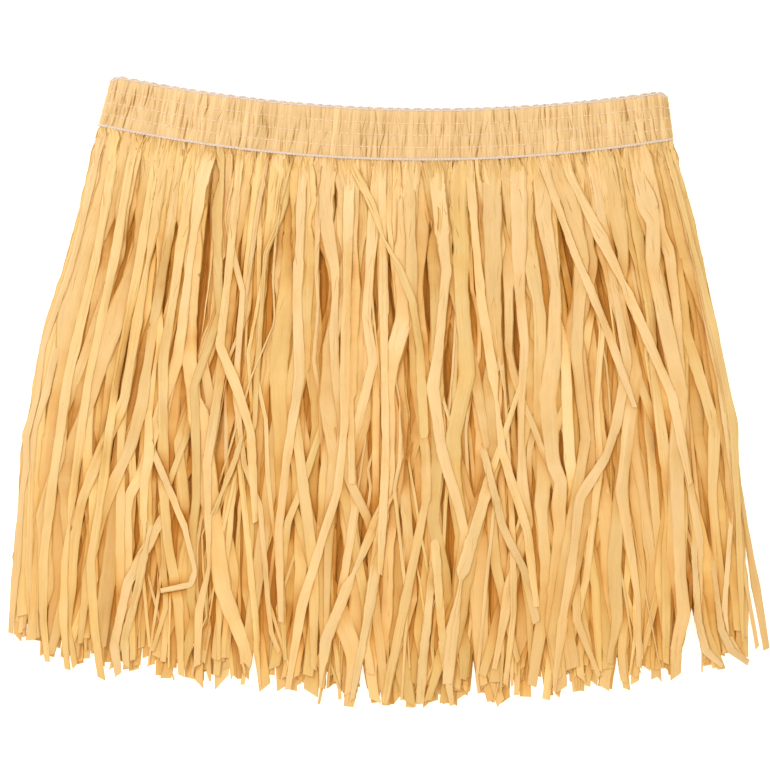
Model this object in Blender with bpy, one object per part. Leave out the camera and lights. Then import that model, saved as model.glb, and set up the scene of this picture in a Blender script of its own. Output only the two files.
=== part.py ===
"""Grass skirt of paper raffia, laid flat on its back with the front facing up.

The front and back walls of the gathered waistband lie face to face. Five layers of cut
strands hang below them, each fused at its roots to a narrow strip under the band's foot.
+X runs across the skirt, +Y towards the waist and +Z up from the surface that it lies on.
"""

import math
import random
from collections import namedtuple

import bmesh
import bpy
from mathutils import Vector

# Driving sizes, in metres.
SEAM_GAP = 0.0003  # between pieces that are sewn to each other

# An edge of the plan from its left end (u = -1) to its right end (u = 1). Its ends stand
# higher than its middle by "rise", and the right one stands higher than that by "tilt".
Edge = namedtuple("Edge", "half_width centre_x middle_y rise tilt")
BAND_TOP = Edge(half_width=0.181, centre_x=0.000, middle_y=0.1837, rise=0.0166, tilt=-0.0052)
BAND_FOOT = Edge(half_width=0.1865, centre_x=-0.002, middle_y=0.1518, rise=0.0176, tilt=-0.0046)
HEM = Edge(half_width=0.2475, centre_x=0.000, middle_y=-0.194, rise=0.040, tilt=0.0065)

# The waistband: two walls, each a half of the flattened tube.
BAND_BACK_TOP_Z = 0.0021  # thickness of the back wall, which lies on the surface
BAND_FRONT_Z = 0.0027  # underside of the front wall
BAND_FRONT_THICK = 0.0026
GATHERS = 57  # across each wall
GATHER_HEIGHT = 0.0007
GATHER_UNEVEN = 0.22  # share by which a gather's place and height vary
SCALLOP = 0.0010  # how far a gather stands above the band's top edge
FOLD_RADIUS = 0.0022  # side fold, where front turns into back
FOLD_LIP = 0.0009  # thickness left at the very end of the fold
FOLD_ANGLES = (0, 30, 60, 90)
BAND_ROWS = (0.0, 0.27, 0.51, 0.76, 1.0)  # the five stitch rows, from top edge to foot
ROW_PINCH = (1.0, 0.75, 0.85, 0.75, 1.0)  # how much of the gathers' height each row leaves

# The strands.
STRIP_DEPTH = 0.0042  # root strip, measured along the strands
STRIP_THICK = 0.0009
STRAND_THICK = 0.0011
LEAST_SPACE = 0.0006  # between neighbouring strands of one layer
FLARE_POWER = 2.3  # how early the strands spread to the hem's width
BULGE_START = 0.22  # share of the length over which a layer rises to its full height
SETTLE_START = 0.5  # share of the length past which a layer sinks again
HEM_SETTLE = 0.12  # share of its height that a layer has lost at the hem
TIP_SLANT = 0.0022  # half the slant of a strand's cut tip

# One layer of strands a row: how many there are and in how many lengths each is built, the
# strip's underside and the strands' middle height at mid length, how wide a strand is, how
# far it sways and leans sideways, how far it twists in degrees, how far it lifts, how much
# the tips vary in length, how much narrower the layer is at the sides, and its seed.
Layer = namedtuple(
    "Layer",
    "name strands lengths strip_z body_z width sway lean twist lift uneven inset seed",
)
LAYERS = (
    Layer("fringe_back_outer", 46, 4, 0.0000, 0.00055, 0.0090, 0.0030, 0.000, 0.0, 0.0, 0.008, 0.006, 11),
    Layer("fringe_back_inner", 40, 4, 0.0012, 0.00300, 0.0090, 0.0040, 0.003, 5.0, 0.0003, 0.010, 0.002, 12),
    Layer("fringe_front_inner", 44, 5, 0.0027, 0.00580, 0.0085, 0.0040, 0.003, 5.0, 0.0003, 0.010, 0.000, 13),
    Layer("fringe_front_outer", 68, 6, 0.0039, 0.00860, 0.0066, 0.0050, 0.004, 7.0, 0.0003, 0.009, 0.003, 14),
    Layer("fringe_front_loose", 50, 7, 0.0051, 0.01150, 0.0072, 0.0040, 0.016, 9.0, 0.0004, 0.012, 0.008, 15),
)
RAFFIA_COLOUR = (0.86, 0.58, 0.26, 1.0)
RAFFIA_DEEP_COLOUR = (0.72, 0.44, 0.17, 1.0)
RAFFIA_ROUGHNESS = 0.62


def edge_point(edge, u):
    """The plan point (x, y) of an edge at u."""
    return (
        edge.centre_x + edge.half_width * u,
        edge.middle_y + edge.rise * u * u + edge.tilt * u,
    )


def mix(a, b, share):
    return a + (b - a) * share


def smooth_step(value):
    value = min(max(value, 0.0), 1.0)
    return value * value * (3 - 2 * value)


def clear_scene():
    for obj in list(bpy.data.objects):
        bpy.data.objects.remove(obj)


def raffia_material(name, colour):
    material = bpy.data.materials.new(name)
    material.use_nodes = True
    shader = material.node_tree.nodes["Principled BSDF"]
    shader.inputs["Base Color"].default_value = colour
    shader.inputs["Roughness"].default_value = RAFFIA_ROUGHNESS
    shader.inputs["Metallic"].default_value = 0.0
    return material


def add_object(name, bm, material):
    """A named object from a finished bmesh, its faces pointing out."""
    bmesh.ops.recalc_face_normals(bm, faces=bm.faces)
    mesh = bpy.data.meshes.new(name)
    bm.to_mesh(mesh)
    bm.free()
    mesh.materials.append(material)
    obj = bpy.data.objects.new(name, mesh)
    bpy.context.scene.collection.objects.link(obj)
    return obj


def loft(bm, sections):
    """Closed rings of points joined one after another, with a cap at each end."""
    rings = [[bm.verts.new(point) for point in section] for section in sections]
    for first, second in zip(rings, rings[1:]):
        for i, vert in enumerate(first):
            j = (i + 1) % len(first)
            bm.faces.new((vert, first[j], second[j], second[i]))
    bm.faces.new(rings[0])
    bm.faces.new(rings[-1])


# ---- the waistband ----


def band_stations():
    """(u, share of a gather's height) across a band wall, valley and ridge in turn."""
    rng = random.Random(5)
    fold_u = FOLD_RADIUS / BAND_TOP.half_width
    inner = 1 - fold_u
    step = inner / GATHERS
    stations = []
    for i in range(2 * GATHERS + 1):
        at_end = i in (0, 2 * GATHERS)
        shift = 0 if at_end else rng.uniform(-GATHER_UNEVEN, GATHER_UNEVEN) * step
        ridge = (1 - rng.uniform(0, GATHER_UNEVEN)) if i % 2 else 0.0
        stations.append((-inner + i * step + shift, ridge))
    turns = [fold_u * math.sin(math.radians(angle)) for angle in FOLD_ANGLES[1:]]
    left = [(-inner - turn, 0.0) for turn in reversed(turns)]
    right = [(inner + turn, 0.0) for turn in turns]
    return left + stations + right


def fold_drop(u):
    """Share by which a wall's outer face has turned down into the side fold: 0 to 1."""
    fold_u = FOLD_RADIUS / BAND_TOP.half_width
    past = max(0.0, (abs(u) - (1 - fold_u)) / fold_u)
    return 1 - math.sqrt(max(0.0, 1 - past * past))


def band_point(u, v, z, above=0.0):
    """A point of the band at u, at v from its top edge (0) to its foot (1)."""
    top, foot = edge_point(BAND_TOP, u), edge_point(BAND_FOOT, u)
    return Vector((mix(top[0], foot[0], v), mix(top[1], foot[1], v) + above, z))


def front_band_section(u, ridge):
    """A ring round the front wall: gathered outer points, then the plain inner side."""
    lip_z = BAND_FRONT_Z + FOLD_LIP
    face_z = mix(BAND_FRONT_Z + BAND_FRONT_THICK, lip_z, fold_drop(u))
    ring = []
    for v, pinch in zip(BAND_ROWS, ROW_PINCH):
        above = ridge * SCALLOP if v == 0 else 0.0
        ring.append(band_point(u, v, face_z + ridge * pinch * GATHER_HEIGHT, above))
    ring.append(band_point(u, 1.0, BAND_FRONT_Z))
    ring.append(band_point(u, 0.0, BAND_FRONT_Z, ridge * SCALLOP))
    return ring


def back_band_section(u, ridge):
    """A ring round the back wall, whose outer side is pressed flat by what it lies on."""
    outer_z = mix(0.0, BAND_BACK_TOP_Z - FOLD_LIP, fold_drop(u))
    above = ridge * SCALLOP
    return [
        band_point(u, 0.0, outer_z, above),
        band_point(u, 1.0, outer_z),
        band_point(u, 1.0, BAND_BACK_TOP_Z),
        band_point(u, 0.0, BAND_BACK_TOP_Z, above),
    ]


def build_band(name, section, material):
    bm = bmesh.new()
    loft(bm, [section(u, ridge) for u, ridge in band_stations()])
    return add_object(name, bm, material)


# ---- the strands ----


def path_point(root_u, tip_u, t, inset):
    """Where a strand's middle is in plan, from its root (t = 0) to the hem (t = 1)."""
    root, tip = edge_point(BAND_FOOT, root_u), edge_point(HEM, tip_u)
    flare = 1 - (1 - min(t, 1.0)) ** FLARE_POWER
    narrow = 1 - inset * t / HEM.half_width
    root_y = root[1] - SEAM_GAP - STRIP_DEPTH
    return mix(root[0], tip[0], flare) * narrow, mix(root_y, tip[1], t)


def layer_height(layer, t, thick):
    """Middle height of a layer of strands: up from its strip, then slowly down to the hem.

    The lowest layer lies flat on the surface all the way.
    """
    rise = smooth_step(t / BULGE_START)
    settle = HEM_SETTLE * smooth_step((t - SETTLE_START) / (1 - SETTLE_START))
    high = max(thick / 2, layer.body_z * (1 - settle))
    return mix(layer.strip_z + thick / 2, high, rise)


def centre_lines(layer, rng):
    """Each strand's middle line: a list of (x, y) for each of its sections."""
    phase = rng.uniform(0, math.tau)
    lines = []
    for i in range(layer.strands):
        share = (i + 0.5) / layer.strands
        root_u = mix(-1.0, 1.0, share) * (1 - 0.6 * STRIP_THICK / BAND_FOOT.half_width)
        away_from_sides = math.cos(root_u * math.pi / 2)
        lean = layer.lean * away_from_sides * math.sin(7.3 * root_u + phase)
        tip_u = root_u + (lean + rng.uniform(-0.3, 0.3) * layer.sway) / HEM.half_width
        line = []
        for k in range(layer.lengths + 1):
            t = k / layer.lengths
            x, y = path_point(root_u, tip_u, t, layer.inset)
            wave = math.sin(math.tau * (0.9 * t + 0.8 * root_u) + phase)
            x += layer.sway * t * away_from_sides * wave
            if k == layer.lengths:
                y += rng.uniform(-1, 1) * layer.uneven
            line.append((x, y))
        lines.append(line)
    return lines


def strand_widths(layer, lines, i):
    """Widths of strand i, cut down where its neighbours leave less room."""
    widths = []
    for k, (x, _) in enumerate(lines[i]):
        room = [abs(lines[j][k][0] - x) for j in (i - 1, i + 1) if 0 <= j < len(lines)]
        widths.append(min(layer.width, min(room) - LEAST_SPACE))
    return widths


def strand_sections(layer, lines, i, rng):
    """Corners of each section of strand i: left under, right under, right top, left top."""
    phase, turn = rng.uniform(0, math.tau), rng.choice((-1, 1))
    sections = []
    last = layer.lengths
    for k, (x, y) in enumerate(lines[i]):
        t = k / last
        half = strand_widths(layer, lines, i)[k] / 2
        loose = smooth_step(t / BULGE_START)
        thick = mix(STRIP_THICK, STRAND_THICK, loose)
        wave = math.sin(math.tau * 1.4 * t + phase)
        z = layer_height(layer, t, thick) + layer.lift * loose * wave
        angle = math.radians(layer.twist) * loose * turn * math.cos(4.1 * t + phase)
        across = Vector((half * math.cos(angle), 0, half * math.sin(angle)))
        slant = Vector((0, TIP_SLANT * turn if k == last else 0.0, 0))
        up, middle = Vector((0, 0, thick / 2)), Vector((x, y, z))
        sections.append(
            [
                middle - across - slant - up,
                middle + across + slant - up,
                middle + across + slant + up,
                middle - across - slant + up,
            ]
        )
    return sections


def strip_columns(layer, roots):
    """Corners of the root strip in plan, two for each strand, and one more at each side."""
    end_x = BAND_FOOT.half_width * (1 - FOLD_RADIUS / BAND_FOOT.half_width)
    left, right = BAND_FOOT.centre_x - end_x, BAND_FOOT.centre_x + end_x
    xs = [left]
    for root in roots:
        xs += [root[0].x, root[1].x]
    return xs + [right]


def build_fringe(layer, material):
    """A root strip with the strands drawn out of its lower side, as one body."""
    rng = random.Random(layer.seed)
    lines = centre_lines(layer, rng)
    strands = [strand_sections(layer, lines, i, rng) for i in range(layer.strands)]
    low_z, high_z = layer.strip_z, layer.strip_z + STRIP_THICK
    bm = bmesh.new()
    columns = []
    for x in strip_columns(layer, [sections[0] for sections in strands]):
        u = (x - BAND_FOOT.centre_x) / BAND_FOOT.half_width
        top_y = edge_point(BAND_FOOT, u)[1] - SEAM_GAP
        low_y = top_y - STRIP_DEPTH
        corners = ((low_y, low_z), (low_y, high_z), (top_y, high_z), (top_y, low_z))
        columns.append([bm.verts.new((x, y, z)) for y, z in corners])
    for first, second in zip(columns, columns[1:]):
        for a in (1, 2, 3):
            b = (a + 1) % 4
            bm.faces.new((first[a], first[b], second[b], second[a]))
    bm.faces.new(columns[0])
    bm.faces.new(columns[-1])
    for i, (first, second) in enumerate(zip(columns, columns[1:])):
        ring = [first[0], second[0], second[1], first[1]]
        if i % 2 == 0:
            bm.faces.new(ring)
            continue
        for section in strands[i // 2][1:]:
            following = [bm.verts.new(corner) for corner in section]
            for a in range(4):
                b = (a + 1) % 4
                bm.faces.new((ring[a], ring[b], following[b], following[a]))
            ring = following
        bm.faces.new(ring)
    return add_object(layer.name, bm, material)


def main():
    clear_scene()
    raffia = raffia_material("raffia", RAFFIA_COLOUR)
    deep_raffia = raffia_material("raffia_inner", RAFFIA_DEEP_COLOUR)
    build_band("band_front", front_band_section, raffia)
    build_band("band_back", back_band_section, raffia)
    for layer in LAYERS:
        inner = layer.name.endswith("inner")
        build_fringe(layer, deep_raffia if inner else raffia)


main()
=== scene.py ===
"""Looks of a paper-raffia grass skirt that lies flat on its back, front side up.

Run it in Blender 4.5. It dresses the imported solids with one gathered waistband, its sewing,
and several layers of cut paper strands. Each strand is laid by its middle on the ones below
it, so where two cross, one may sink into the other.
+X runs across the skirt, +Y towards the waist and +Z up from the surface, in metres.
"""

import math
from collections import namedtuple

import bpy
import numpy as np
from bpy.props import FloatProperty, FloatVectorProperty, PointerProperty
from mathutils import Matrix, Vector


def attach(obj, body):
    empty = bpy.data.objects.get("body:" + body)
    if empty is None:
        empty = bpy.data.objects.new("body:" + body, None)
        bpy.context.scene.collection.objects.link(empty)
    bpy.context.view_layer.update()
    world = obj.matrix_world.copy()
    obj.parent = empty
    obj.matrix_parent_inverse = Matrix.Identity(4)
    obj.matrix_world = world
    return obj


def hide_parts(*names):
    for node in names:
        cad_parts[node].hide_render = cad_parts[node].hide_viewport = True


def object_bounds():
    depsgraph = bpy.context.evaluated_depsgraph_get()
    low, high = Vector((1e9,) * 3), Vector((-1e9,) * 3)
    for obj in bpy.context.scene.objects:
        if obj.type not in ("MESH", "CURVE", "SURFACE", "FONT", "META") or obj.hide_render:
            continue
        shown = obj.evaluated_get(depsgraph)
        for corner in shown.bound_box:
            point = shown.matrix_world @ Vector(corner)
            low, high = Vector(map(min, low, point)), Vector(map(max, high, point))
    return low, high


bl_info = {
    "name": "Grass skirt looks",
    "version": (1, 0, 0),
    "blender": (4, 5, 0),
    "location": "3D View > Sidebar > Skirt",
    "description": "Gathered waistband, sewing and raffia strands of a grass skirt",
    "category": "Object",
}

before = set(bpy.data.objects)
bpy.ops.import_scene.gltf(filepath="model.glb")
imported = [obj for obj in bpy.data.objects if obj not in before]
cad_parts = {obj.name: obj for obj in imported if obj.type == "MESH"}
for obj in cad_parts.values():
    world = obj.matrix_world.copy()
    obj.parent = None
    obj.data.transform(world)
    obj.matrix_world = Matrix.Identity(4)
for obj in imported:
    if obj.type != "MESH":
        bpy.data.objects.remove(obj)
CAD_LOW, CAD_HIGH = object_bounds()
BODY = "root"
MM = 0.001

# ---- the skirt's plan ----

# An edge of the plan from its left end (u = -1) to its right end (u = 1). Its ends stand
# higher than its middle by "rise", and the right one stands higher than that by "tilt".
Edge = namedtuple("Edge", "half_width centre_x middle_y rise tilt")
BAND_TOP = Edge(half_width=0.181, centre_x=0.000, middle_y=0.1837, rise=0.0166, tilt=-0.0052)
BAND_FOOT = Edge(half_width=0.1865, centre_x=-0.002, middle_y=0.1518, rise=0.0176, tilt=-0.0046)
HEM = Edge(half_width=0.2460, centre_x=-0.0005, middle_y=-0.195, rise=0.035, tilt=-0.003)
# How far the left and the right side have spread to the hem's width, at even steps down.
SPREAD = ((0.0, 0.25, 0.60, 0.83, 0.91, 1.0), (0.0, 0.28, 0.53, 0.69, 0.78, 0.82))

# Layers of strands, from the surface up. Widths, sways and leans are in millimetres: "lean"
# is how far tips stray from straight down, "sway" how far a whole lock drifts, "kink" how
# far a strand steps aside at its bends, "uneven" how much the tips vary in length, "relief"
# how high its creases stand. "gathered" widens the strands where they are still one sheet.
Layer = namedtuple(
    "Layer",
    "piece node slot strands width spread slivers lean sway kink uneven short root_z "
    "gathered parting relief reach steps seed",
)
LAYERS = (
    Layer(
        piece="strands_back_outer", node="fringe_back_outer", slot="raffia", strands=92, width=8.8,
        spread=1.0, slivers=0.0, lean=3, sway=1.0, kink=0.6, uneven=7, short=3, root_z=0.4,
        gathered=1.0, parting=0.0, relief=0.18, reach=0.985, steps=56, seed=21,
    ),
    Layer(
        piece="strands_back_inner", node="fringe_back_inner", slot="raffia_inner", strands=92,
        width=8.4, spread=1.2, slivers=0.0, lean=8, sway=1.5, kink=1.2, uneven=8, short=4,
        root_z=1.4, gathered=1.1, parting=0.0, relief=0.20, reach=0.97, steps=56, seed=22,
    ),
    Layer(
        piece="strands_front_inner", node="fringe_front_inner", slot="raffia_inner", strands=100,
        width=7.0, spread=1.6, slivers=0.06, lean=18, sway=2, kink=3.4, uneven=8, short=4,
        root_z=2.8, gathered=1.2, parting=0.55, relief=0.24, reach=0.98, steps=72, seed=23,
    ),
    Layer(
        piece="strands_front_outer", node="fringe_front_outer", slot="raffia", strands=128,
        width=7.4, spread=2.2, slivers=0.14, lean=22, sway=2, kink=4.2, uneven=8, short=2,
        root_z=4.3, gathered=1.4, parting=1.0, relief=0.26, reach=1.0, steps=84, seed=24,
    ),
    Layer(
        piece="strands_front_loose", node="fringe_front_loose", slot="raffia", strands=120,
        width=6.9, spread=2.4, slivers=0.20, lean=30, sway=2, kink=5.0, uneven=9, short=3,
        root_z=5.3, gathered=1.45, parting=1.0, relief=0.28, reach=1.0, steps=88, seed=25,
    ),
)

# Places where the front strands part and the dark inside shows. Millimetres in plan from
# the top end through the middle to the low end.
Parting = namedtuple("Parting", "top middle low half_width")
PARTINGS = (
    Parting((-116, 143), (-119, 82), (-125, 20), 2.4),
    Parting((-142, 98), (-144, 73), (-147, 48), 1.1),
    Parting((-78, 92), (-77, 67), (-76, 42), 1.2),
    Parting((-174, 40), (-172, 18), (-178, -6), 1.8),
    Parting((-44, 112), (-43, 76), (-42, 38), 2.9),
    Parting((-36, 126), (-35, 110), (-31, 90), 0.8),
    Parting((-26, 106), (-24, 93), (-21, 78), 0.8),
    Parting((-2, 84), (1, 68), (5, 46), 0.7),
    Parting((38, 44), (38, 20), (37, -8), 3.0),
    Parting((23, 84), (23, 68), (23, 52), 0.6),
    Parting((41, 102), (41, 92), (42, 80), 0.6),
    Parting((54, 106), (56, 84), (58, 62), 0.7),
    Parting((109, 117), (115, 100), (122, 84), 0.7),
    Parting((82, 48), (83, 30), (84, 12), 2.0),
    Parting((155, 66), (158, 54), (161, 40), 1.0),
    Parting((39, -62), (40, -98), (42, -134), 2.8),
    Parting((66, -110), (66, -128), (66, -146), 1.9),
    Parting((-31, -86), (-33, -104), (-36, -124), 1.6),
    Parting((-18, -80), (-18, -92), (-19, -104), 1.6),
    Parting((112, -26), (112, -36), (112, -48), 1.8),
    Parting((83, -56), (83, -70), (83, -86), 1.6),
    Parting((90, -96), (90, -112), (92, -128), 1.4),
    Parting((-163, -26), (-163, -40), (-164, -52), 1.8),
    Parting((-164, -66), (-164, -86), (-165, -108), 2.0),
    Parting((-200, -30), (-200, -44), (-201, -58), 1.0),
    Parting((-130, -26), (-130, -52), (-129, -78), 1.3),
    Parting((-100, -68), (-100, -84), (-101, -100), 1.3),
)

# Places where the hem opens in a narrow V, in millimetres: its top, and half its width there.
Notch = namedtuple("Notch", "x top half_width")
NOTCHES = (
    Notch(197, -139, 4.4),
    Notch(-17, -177, 3.6),
    Notch(55, -179, 3.2),
    Notch(-88, -170, 2.4),
    Notch(148, -170, 2.4),
)

# Single strands that lie on top of the rest and catch the eye: the places that each one
# passes, in millimetres in plan from high to low, and its width. "from_root" ones start at
# the band, straight above their first place; the others come out from under the rest.
Lock = namedtuple("Lock", "width from_root places")
LOCKS = (
    Lock(
        6.8,
        True,
        ((-172, -4), (-190, -45), (-200, -71), (-205, -98), (-209, -151), (-204, -179)),
    ),
    Lock(
        7.0,
        True,
        ((-161, -9), (-168, -35), (-184, -70), (-190, -93), (-196, -118), (-201, -164)),
    ),
    Lock(6.8, False, ((-152, -90), (-170, -124), (-179, -164), (-176, -184))),
    Lock(5.6, True, ((-219, -60), (-225, -110), (-225, -150), (-222, -176))),
    Lock(6.0, True, ((-205, -60), (-211, -110), (-212, -150), (-209, -181))),
    Lock(5.8, True, ((-186, -60), (-194, -110), (-192, -150), (-187, -187))),
    Lock(5.4, False, ((-158, -100), (-164, -130), (-172, -160), (-171, -178))),
    Lock(6.6, True, ((-147, 20), (-147, -58), (-144, -98), (-137, -137), (-135, -185))),
    Lock(4.2, False, ((-146, -56), (-133, -87), (-126, -116), (-129, -125), (-149, -129))),
    Lock(6.2, True, ((-110, 30), (-100, 6), (-90, -25), (-87, -85))),
    Lock(4.0, False, ((-109, -66), (-100, -44), (-96, -29))),
    Lock(7.4, False, ((-7, -82), (-27, -126), (-41, -161), (-45, -193))),
    Lock(6.4, False, ((-6, -96), (-14, -147), (-24, -200))),
    Lock(5.8, True, ((-3, 10), (-2, -40), (-6, -119))),
    Lock(7.0, True, ((17, 8), (24, -39), (24, -70), (17, -104), (8, -148), (-3, -203))),
    Lock(5.6, False, ((29, -108), (22, -175), (20, -203))),
    Lock(5.6, False, ((31, -112), (35, -161), (41, -204))),
    Lock(4.0, False, ((81, -9), (67, -51), (60, -84))),
    Lock(7.4, False, ((64, -62), (48, -116), (41, -156), (38, -190))),
    Lock(5.4, False, ((66, -56), (74, -88), (88, -116), (96, -150))),
    Lock(
        6.4,
        True,
        ((155, 20), (148, -20), (141, -42), (124, -68), (120, -104), (113, -147), (107, -195)),
    ),
    Lock(3.6, True, ((224, -60), (230, -111), (240, -167))),
    Lock(4.8, True, ((228, -60), (235, -104), (246, -168))),
    Lock(5.2, True, ((224, -20), (227, -80), (229, -130), (230, -163))),
    Lock(4.6, False, ((221, -100), (218, -140), (221, -160), (230, -174))),
    Lock(4.8, False, ((212, -122), (216, -154), (222, -167), (234, -176))),
    Lock(5.0, False, ((199, -112), (201, -148), (206, -168), (217, -178))),
    Lock(7.0, True, ((117, 143), (136, 104), (153, 70), (184, -2), (196, -60))),
    Lock(6.2, True, ((103, 140), (120, 92), (142, 40), (160, -10))),
    Lock(6.4, True, ((-22, 73), (-23, 41), (-25, -5), (-24, -60))),
    Lock(5.6, True, ((-23, 146), (-11, 122), (-3, 99), (7, 80), (15, 60), (20, 28), (23, -30))),
    Lock(6.4, True, ((-29, -20), (-33, -63), (-45, -100), (-57, -140), (-66, -194))),
    Lock(6.4, True, ((60, 60), (68, 10), (74, -40), (90, -90), (96, -140))),
    Lock(6.2, True, ((-60, 60), (-58, 10), (-66, -40), (-72, -90), (-70, -150))),
)
LOCK_SEED = 31

# ---- sizes of the paper, the pile and the sewing ----

PAPER = 0.22 * MM  # thickness of a strand
CRINKLE = 0.07 * MM  # small unevenness of its lines
PUCKER = 0.52 * MM  # height of the creases where the strands leave the band
AIR = 0.10 * MM  # left between a strand and what lies on it
# 1 rests a strand on the highest point under it and 0 on the mean: under 1, strands sink
# a little into what they cross.
CONTACT = 0.40
DRAPE = 6.0  # how fast a strand can bend down again past what holds it up, per metre
MOST_SLANT = 0.26  # how far a strand steps aside for its way down
LOWEST_TIP = -0.2052
# How much higher the hem is cut, by x.
HEM_RISE = ((-0.17, -0.13, -0.06, -0.03), (0.0, 0.0055, 0.0055, 0.0))
STEEPEST = 0.16  # how sharply a strand turns aside to clear a parting
MOST_ROLL = 0.50  # steepest sideways slope of a strand that lies half on another
SUNK = 1.6 * MM  # how far under its neighbours the paper is in full shade
UNDERSIDE_SHADE = 0.15
EVEN_SHADE = 0.75  # 1 shades a strand evenly from edge to edge
HEAP_CELL = 1.0 * MM
HEAP_ACROSS = 13  # places across a strand where its height is felt
ROOT_BLEND = 0.075  # share of the length over which a strand leaves its sewn height
SEAM_GAP = 0.3 * MM  # between the band's foot and the strands' roots
EMERGE = 0.055  # length over which a strand comes out from under the rest
BURIED = 3.4 * MM  # how deep such a strand starts
FLOOR_CLEAR = 0.12 * MM
LOWEST = 0.05 * MM  # nothing grown from a guide goes below this
PATH_POINTS = 160
STRAND_WIDTHS = (2.4, 12.0)  # narrowest and widest planned, in millimetres, but for slivers
SLIVER_WIDTHS = (1.3, 2.8)
LOCK_ROOT_Z = 5.5 * MM

BAND_HEIGHT_Z = 0.0053  # top of the front wall, under its gathers
BAND_WALL = 1.1 * MM  # from its outer face to its inner one
BAND_SEED, TONE_SEED = 7, 9
TONE_CELLS = 240  # patches of their own tone, round the tube
PLEAT_PITCH = (1.7 * MM, 3.7 * MM)
MOST_PLEATS = 160
CREASE_WIDTH = (0.24, 0.42)  # in millimetres
CREASE_LEAN, CREASE_KINK = 2.2 * MM, 0.42 * MM
CRUMPLE_WIDTH = 0.8 * MM
GATHERS = 57
CREASES = 70  # short ones, across each wall, besides its pleats
# Slanting crumples by the band's ends: millimetres from its left end, place from top to foot
# as a share, slant and depth.
CRUMPLES = (
    (9, 0.40, 0.8, 0.45), (13, 0.55, -0.6, 0.5), (19, 0.62, 0.5, 0.4), (6, 0.62, -0.5, 0.4),
    (343, 0.36, 0.7, 0.4), (350, 0.56, -0.6, 0.4), (337, 0.46, -0.4, 0.35), (102, 0.44, 0.4, 0.4),
)
SCALLOP = 1.5 * MM  # how far the top edge stands up between its stitches
TEXTURE_STRIPS = 8
BAND_ROWS = (0.0, 0.27, 0.51, 0.76, 1.0)  # the stitch rows, from top edge to foot
BETWEEN_ROWS = (0.13, 0.39, 0.63, 0.88)


def edge_point(edge, u):
    """The plan point (x, y) of an edge at u."""
    return (
        edge.centre_x + edge.half_width * u,
        edge.middle_y + edge.rise * u * u + edge.tilt * u,
    )


def corner_drop(u):
    """How far the band's top edge is rounded off at its two ends."""
    return 3.6 * MM * np.clip((np.abs(u) - 0.955) / 0.045, 0, 1) ** 2


def mix(a, b, share):
    """The value a share of the way from a to b."""
    return a + (b - a) * share


def flare(u, t):
    """How far a strand at u has spread at share t of its way, from 0 (band) to 1 (hem)."""
    left, right = (np.interp(t, np.linspace(0, 1, len(side)), side) for side in SPREAD)
    return mix(left, right, (1 + u) / 2)


def smooth_step(value):
    """0 to 1 as the value goes from 0 to 1, level at both ends."""
    value = np.clip(value, 0.0, 1.0)
    return value * value * (3 - 2 * value)


def running_mean(values, reach):
    """Each value becomes the mean of its neighbours up to "reach" steps away."""
    if reach < 1:
        return values
    kernel = np.ones(2 * reach + 1) / (2 * reach + 1)
    return np.convolve(np.pad(values, reach, mode="edge"), kernel, mode="valid")


# ---- scene properties ----


class SkirtSizes(bpy.types.PropertyGroup):
    """Sizes that a user would change."""

    strand_scale: FloatProperty(
        name="Strand width",
        description="Factor on every strand's width",
        default=1.0,
        min=0.3,
        max=2.0,
    )
    gather_height: FloatProperty(
        name="Gather height",
        description="How far the waistband's gathers bulge",
        default=1.6 * MM,
        unit="LENGTH",
    )
    cord_link: FloatProperty(
        name="Cord stitch",
        description="Length of a chain stitch of the foot cord",
        default=2.1 * MM,
        unit="LENGTH",
    )
    shirring_stitch: FloatProperty(
        name="Shirring stitch",
        description="Length of a fine stitch",
        default=3.0 * MM,
        unit="LENGTH",
    )
    shirring_pitch: FloatProperty(
        name="Shirring pitch",
        description="From stitch to stitch in a fine row",
        default=3.8 * MM,
        unit="LENGTH",
    )
    picture_width: FloatProperty(
        name="Picture width",
        description="Width of the surface that the camera sees",
        default=0.5005,
        unit="LENGTH",
    )


class SkirtColours(bpy.types.PropertyGroup):
    """Colours that a user would change."""

    raffia: FloatVectorProperty(
        name="Raffia",
        description="Paper of the outer strands",
        subtype="COLOR",
        default=(0.88, 0.655, 0.42),
    )
    # Painted shade: the inside paper is the outer paper made darker and browner, for the strands
    # that lie under the rest.
    raffia_inner: FloatVectorProperty(
        name="Inner raffia",
        description="Paper of the strands inside",
        subtype="COLOR",
        default=(0.86, 0.60, 0.34),
    )
    thread: FloatVectorProperty(
        name="Thread", description="Sewing thread", subtype="COLOR", default=(0.81, 0.73, 0.81)
    )
    floor: FloatVectorProperty(
        name="Floor",
        description="Surface",
        subtype="COLOR",
        default=(0.93, 0.93, 0.93),
    )


# ---- node helpers ----


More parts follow.
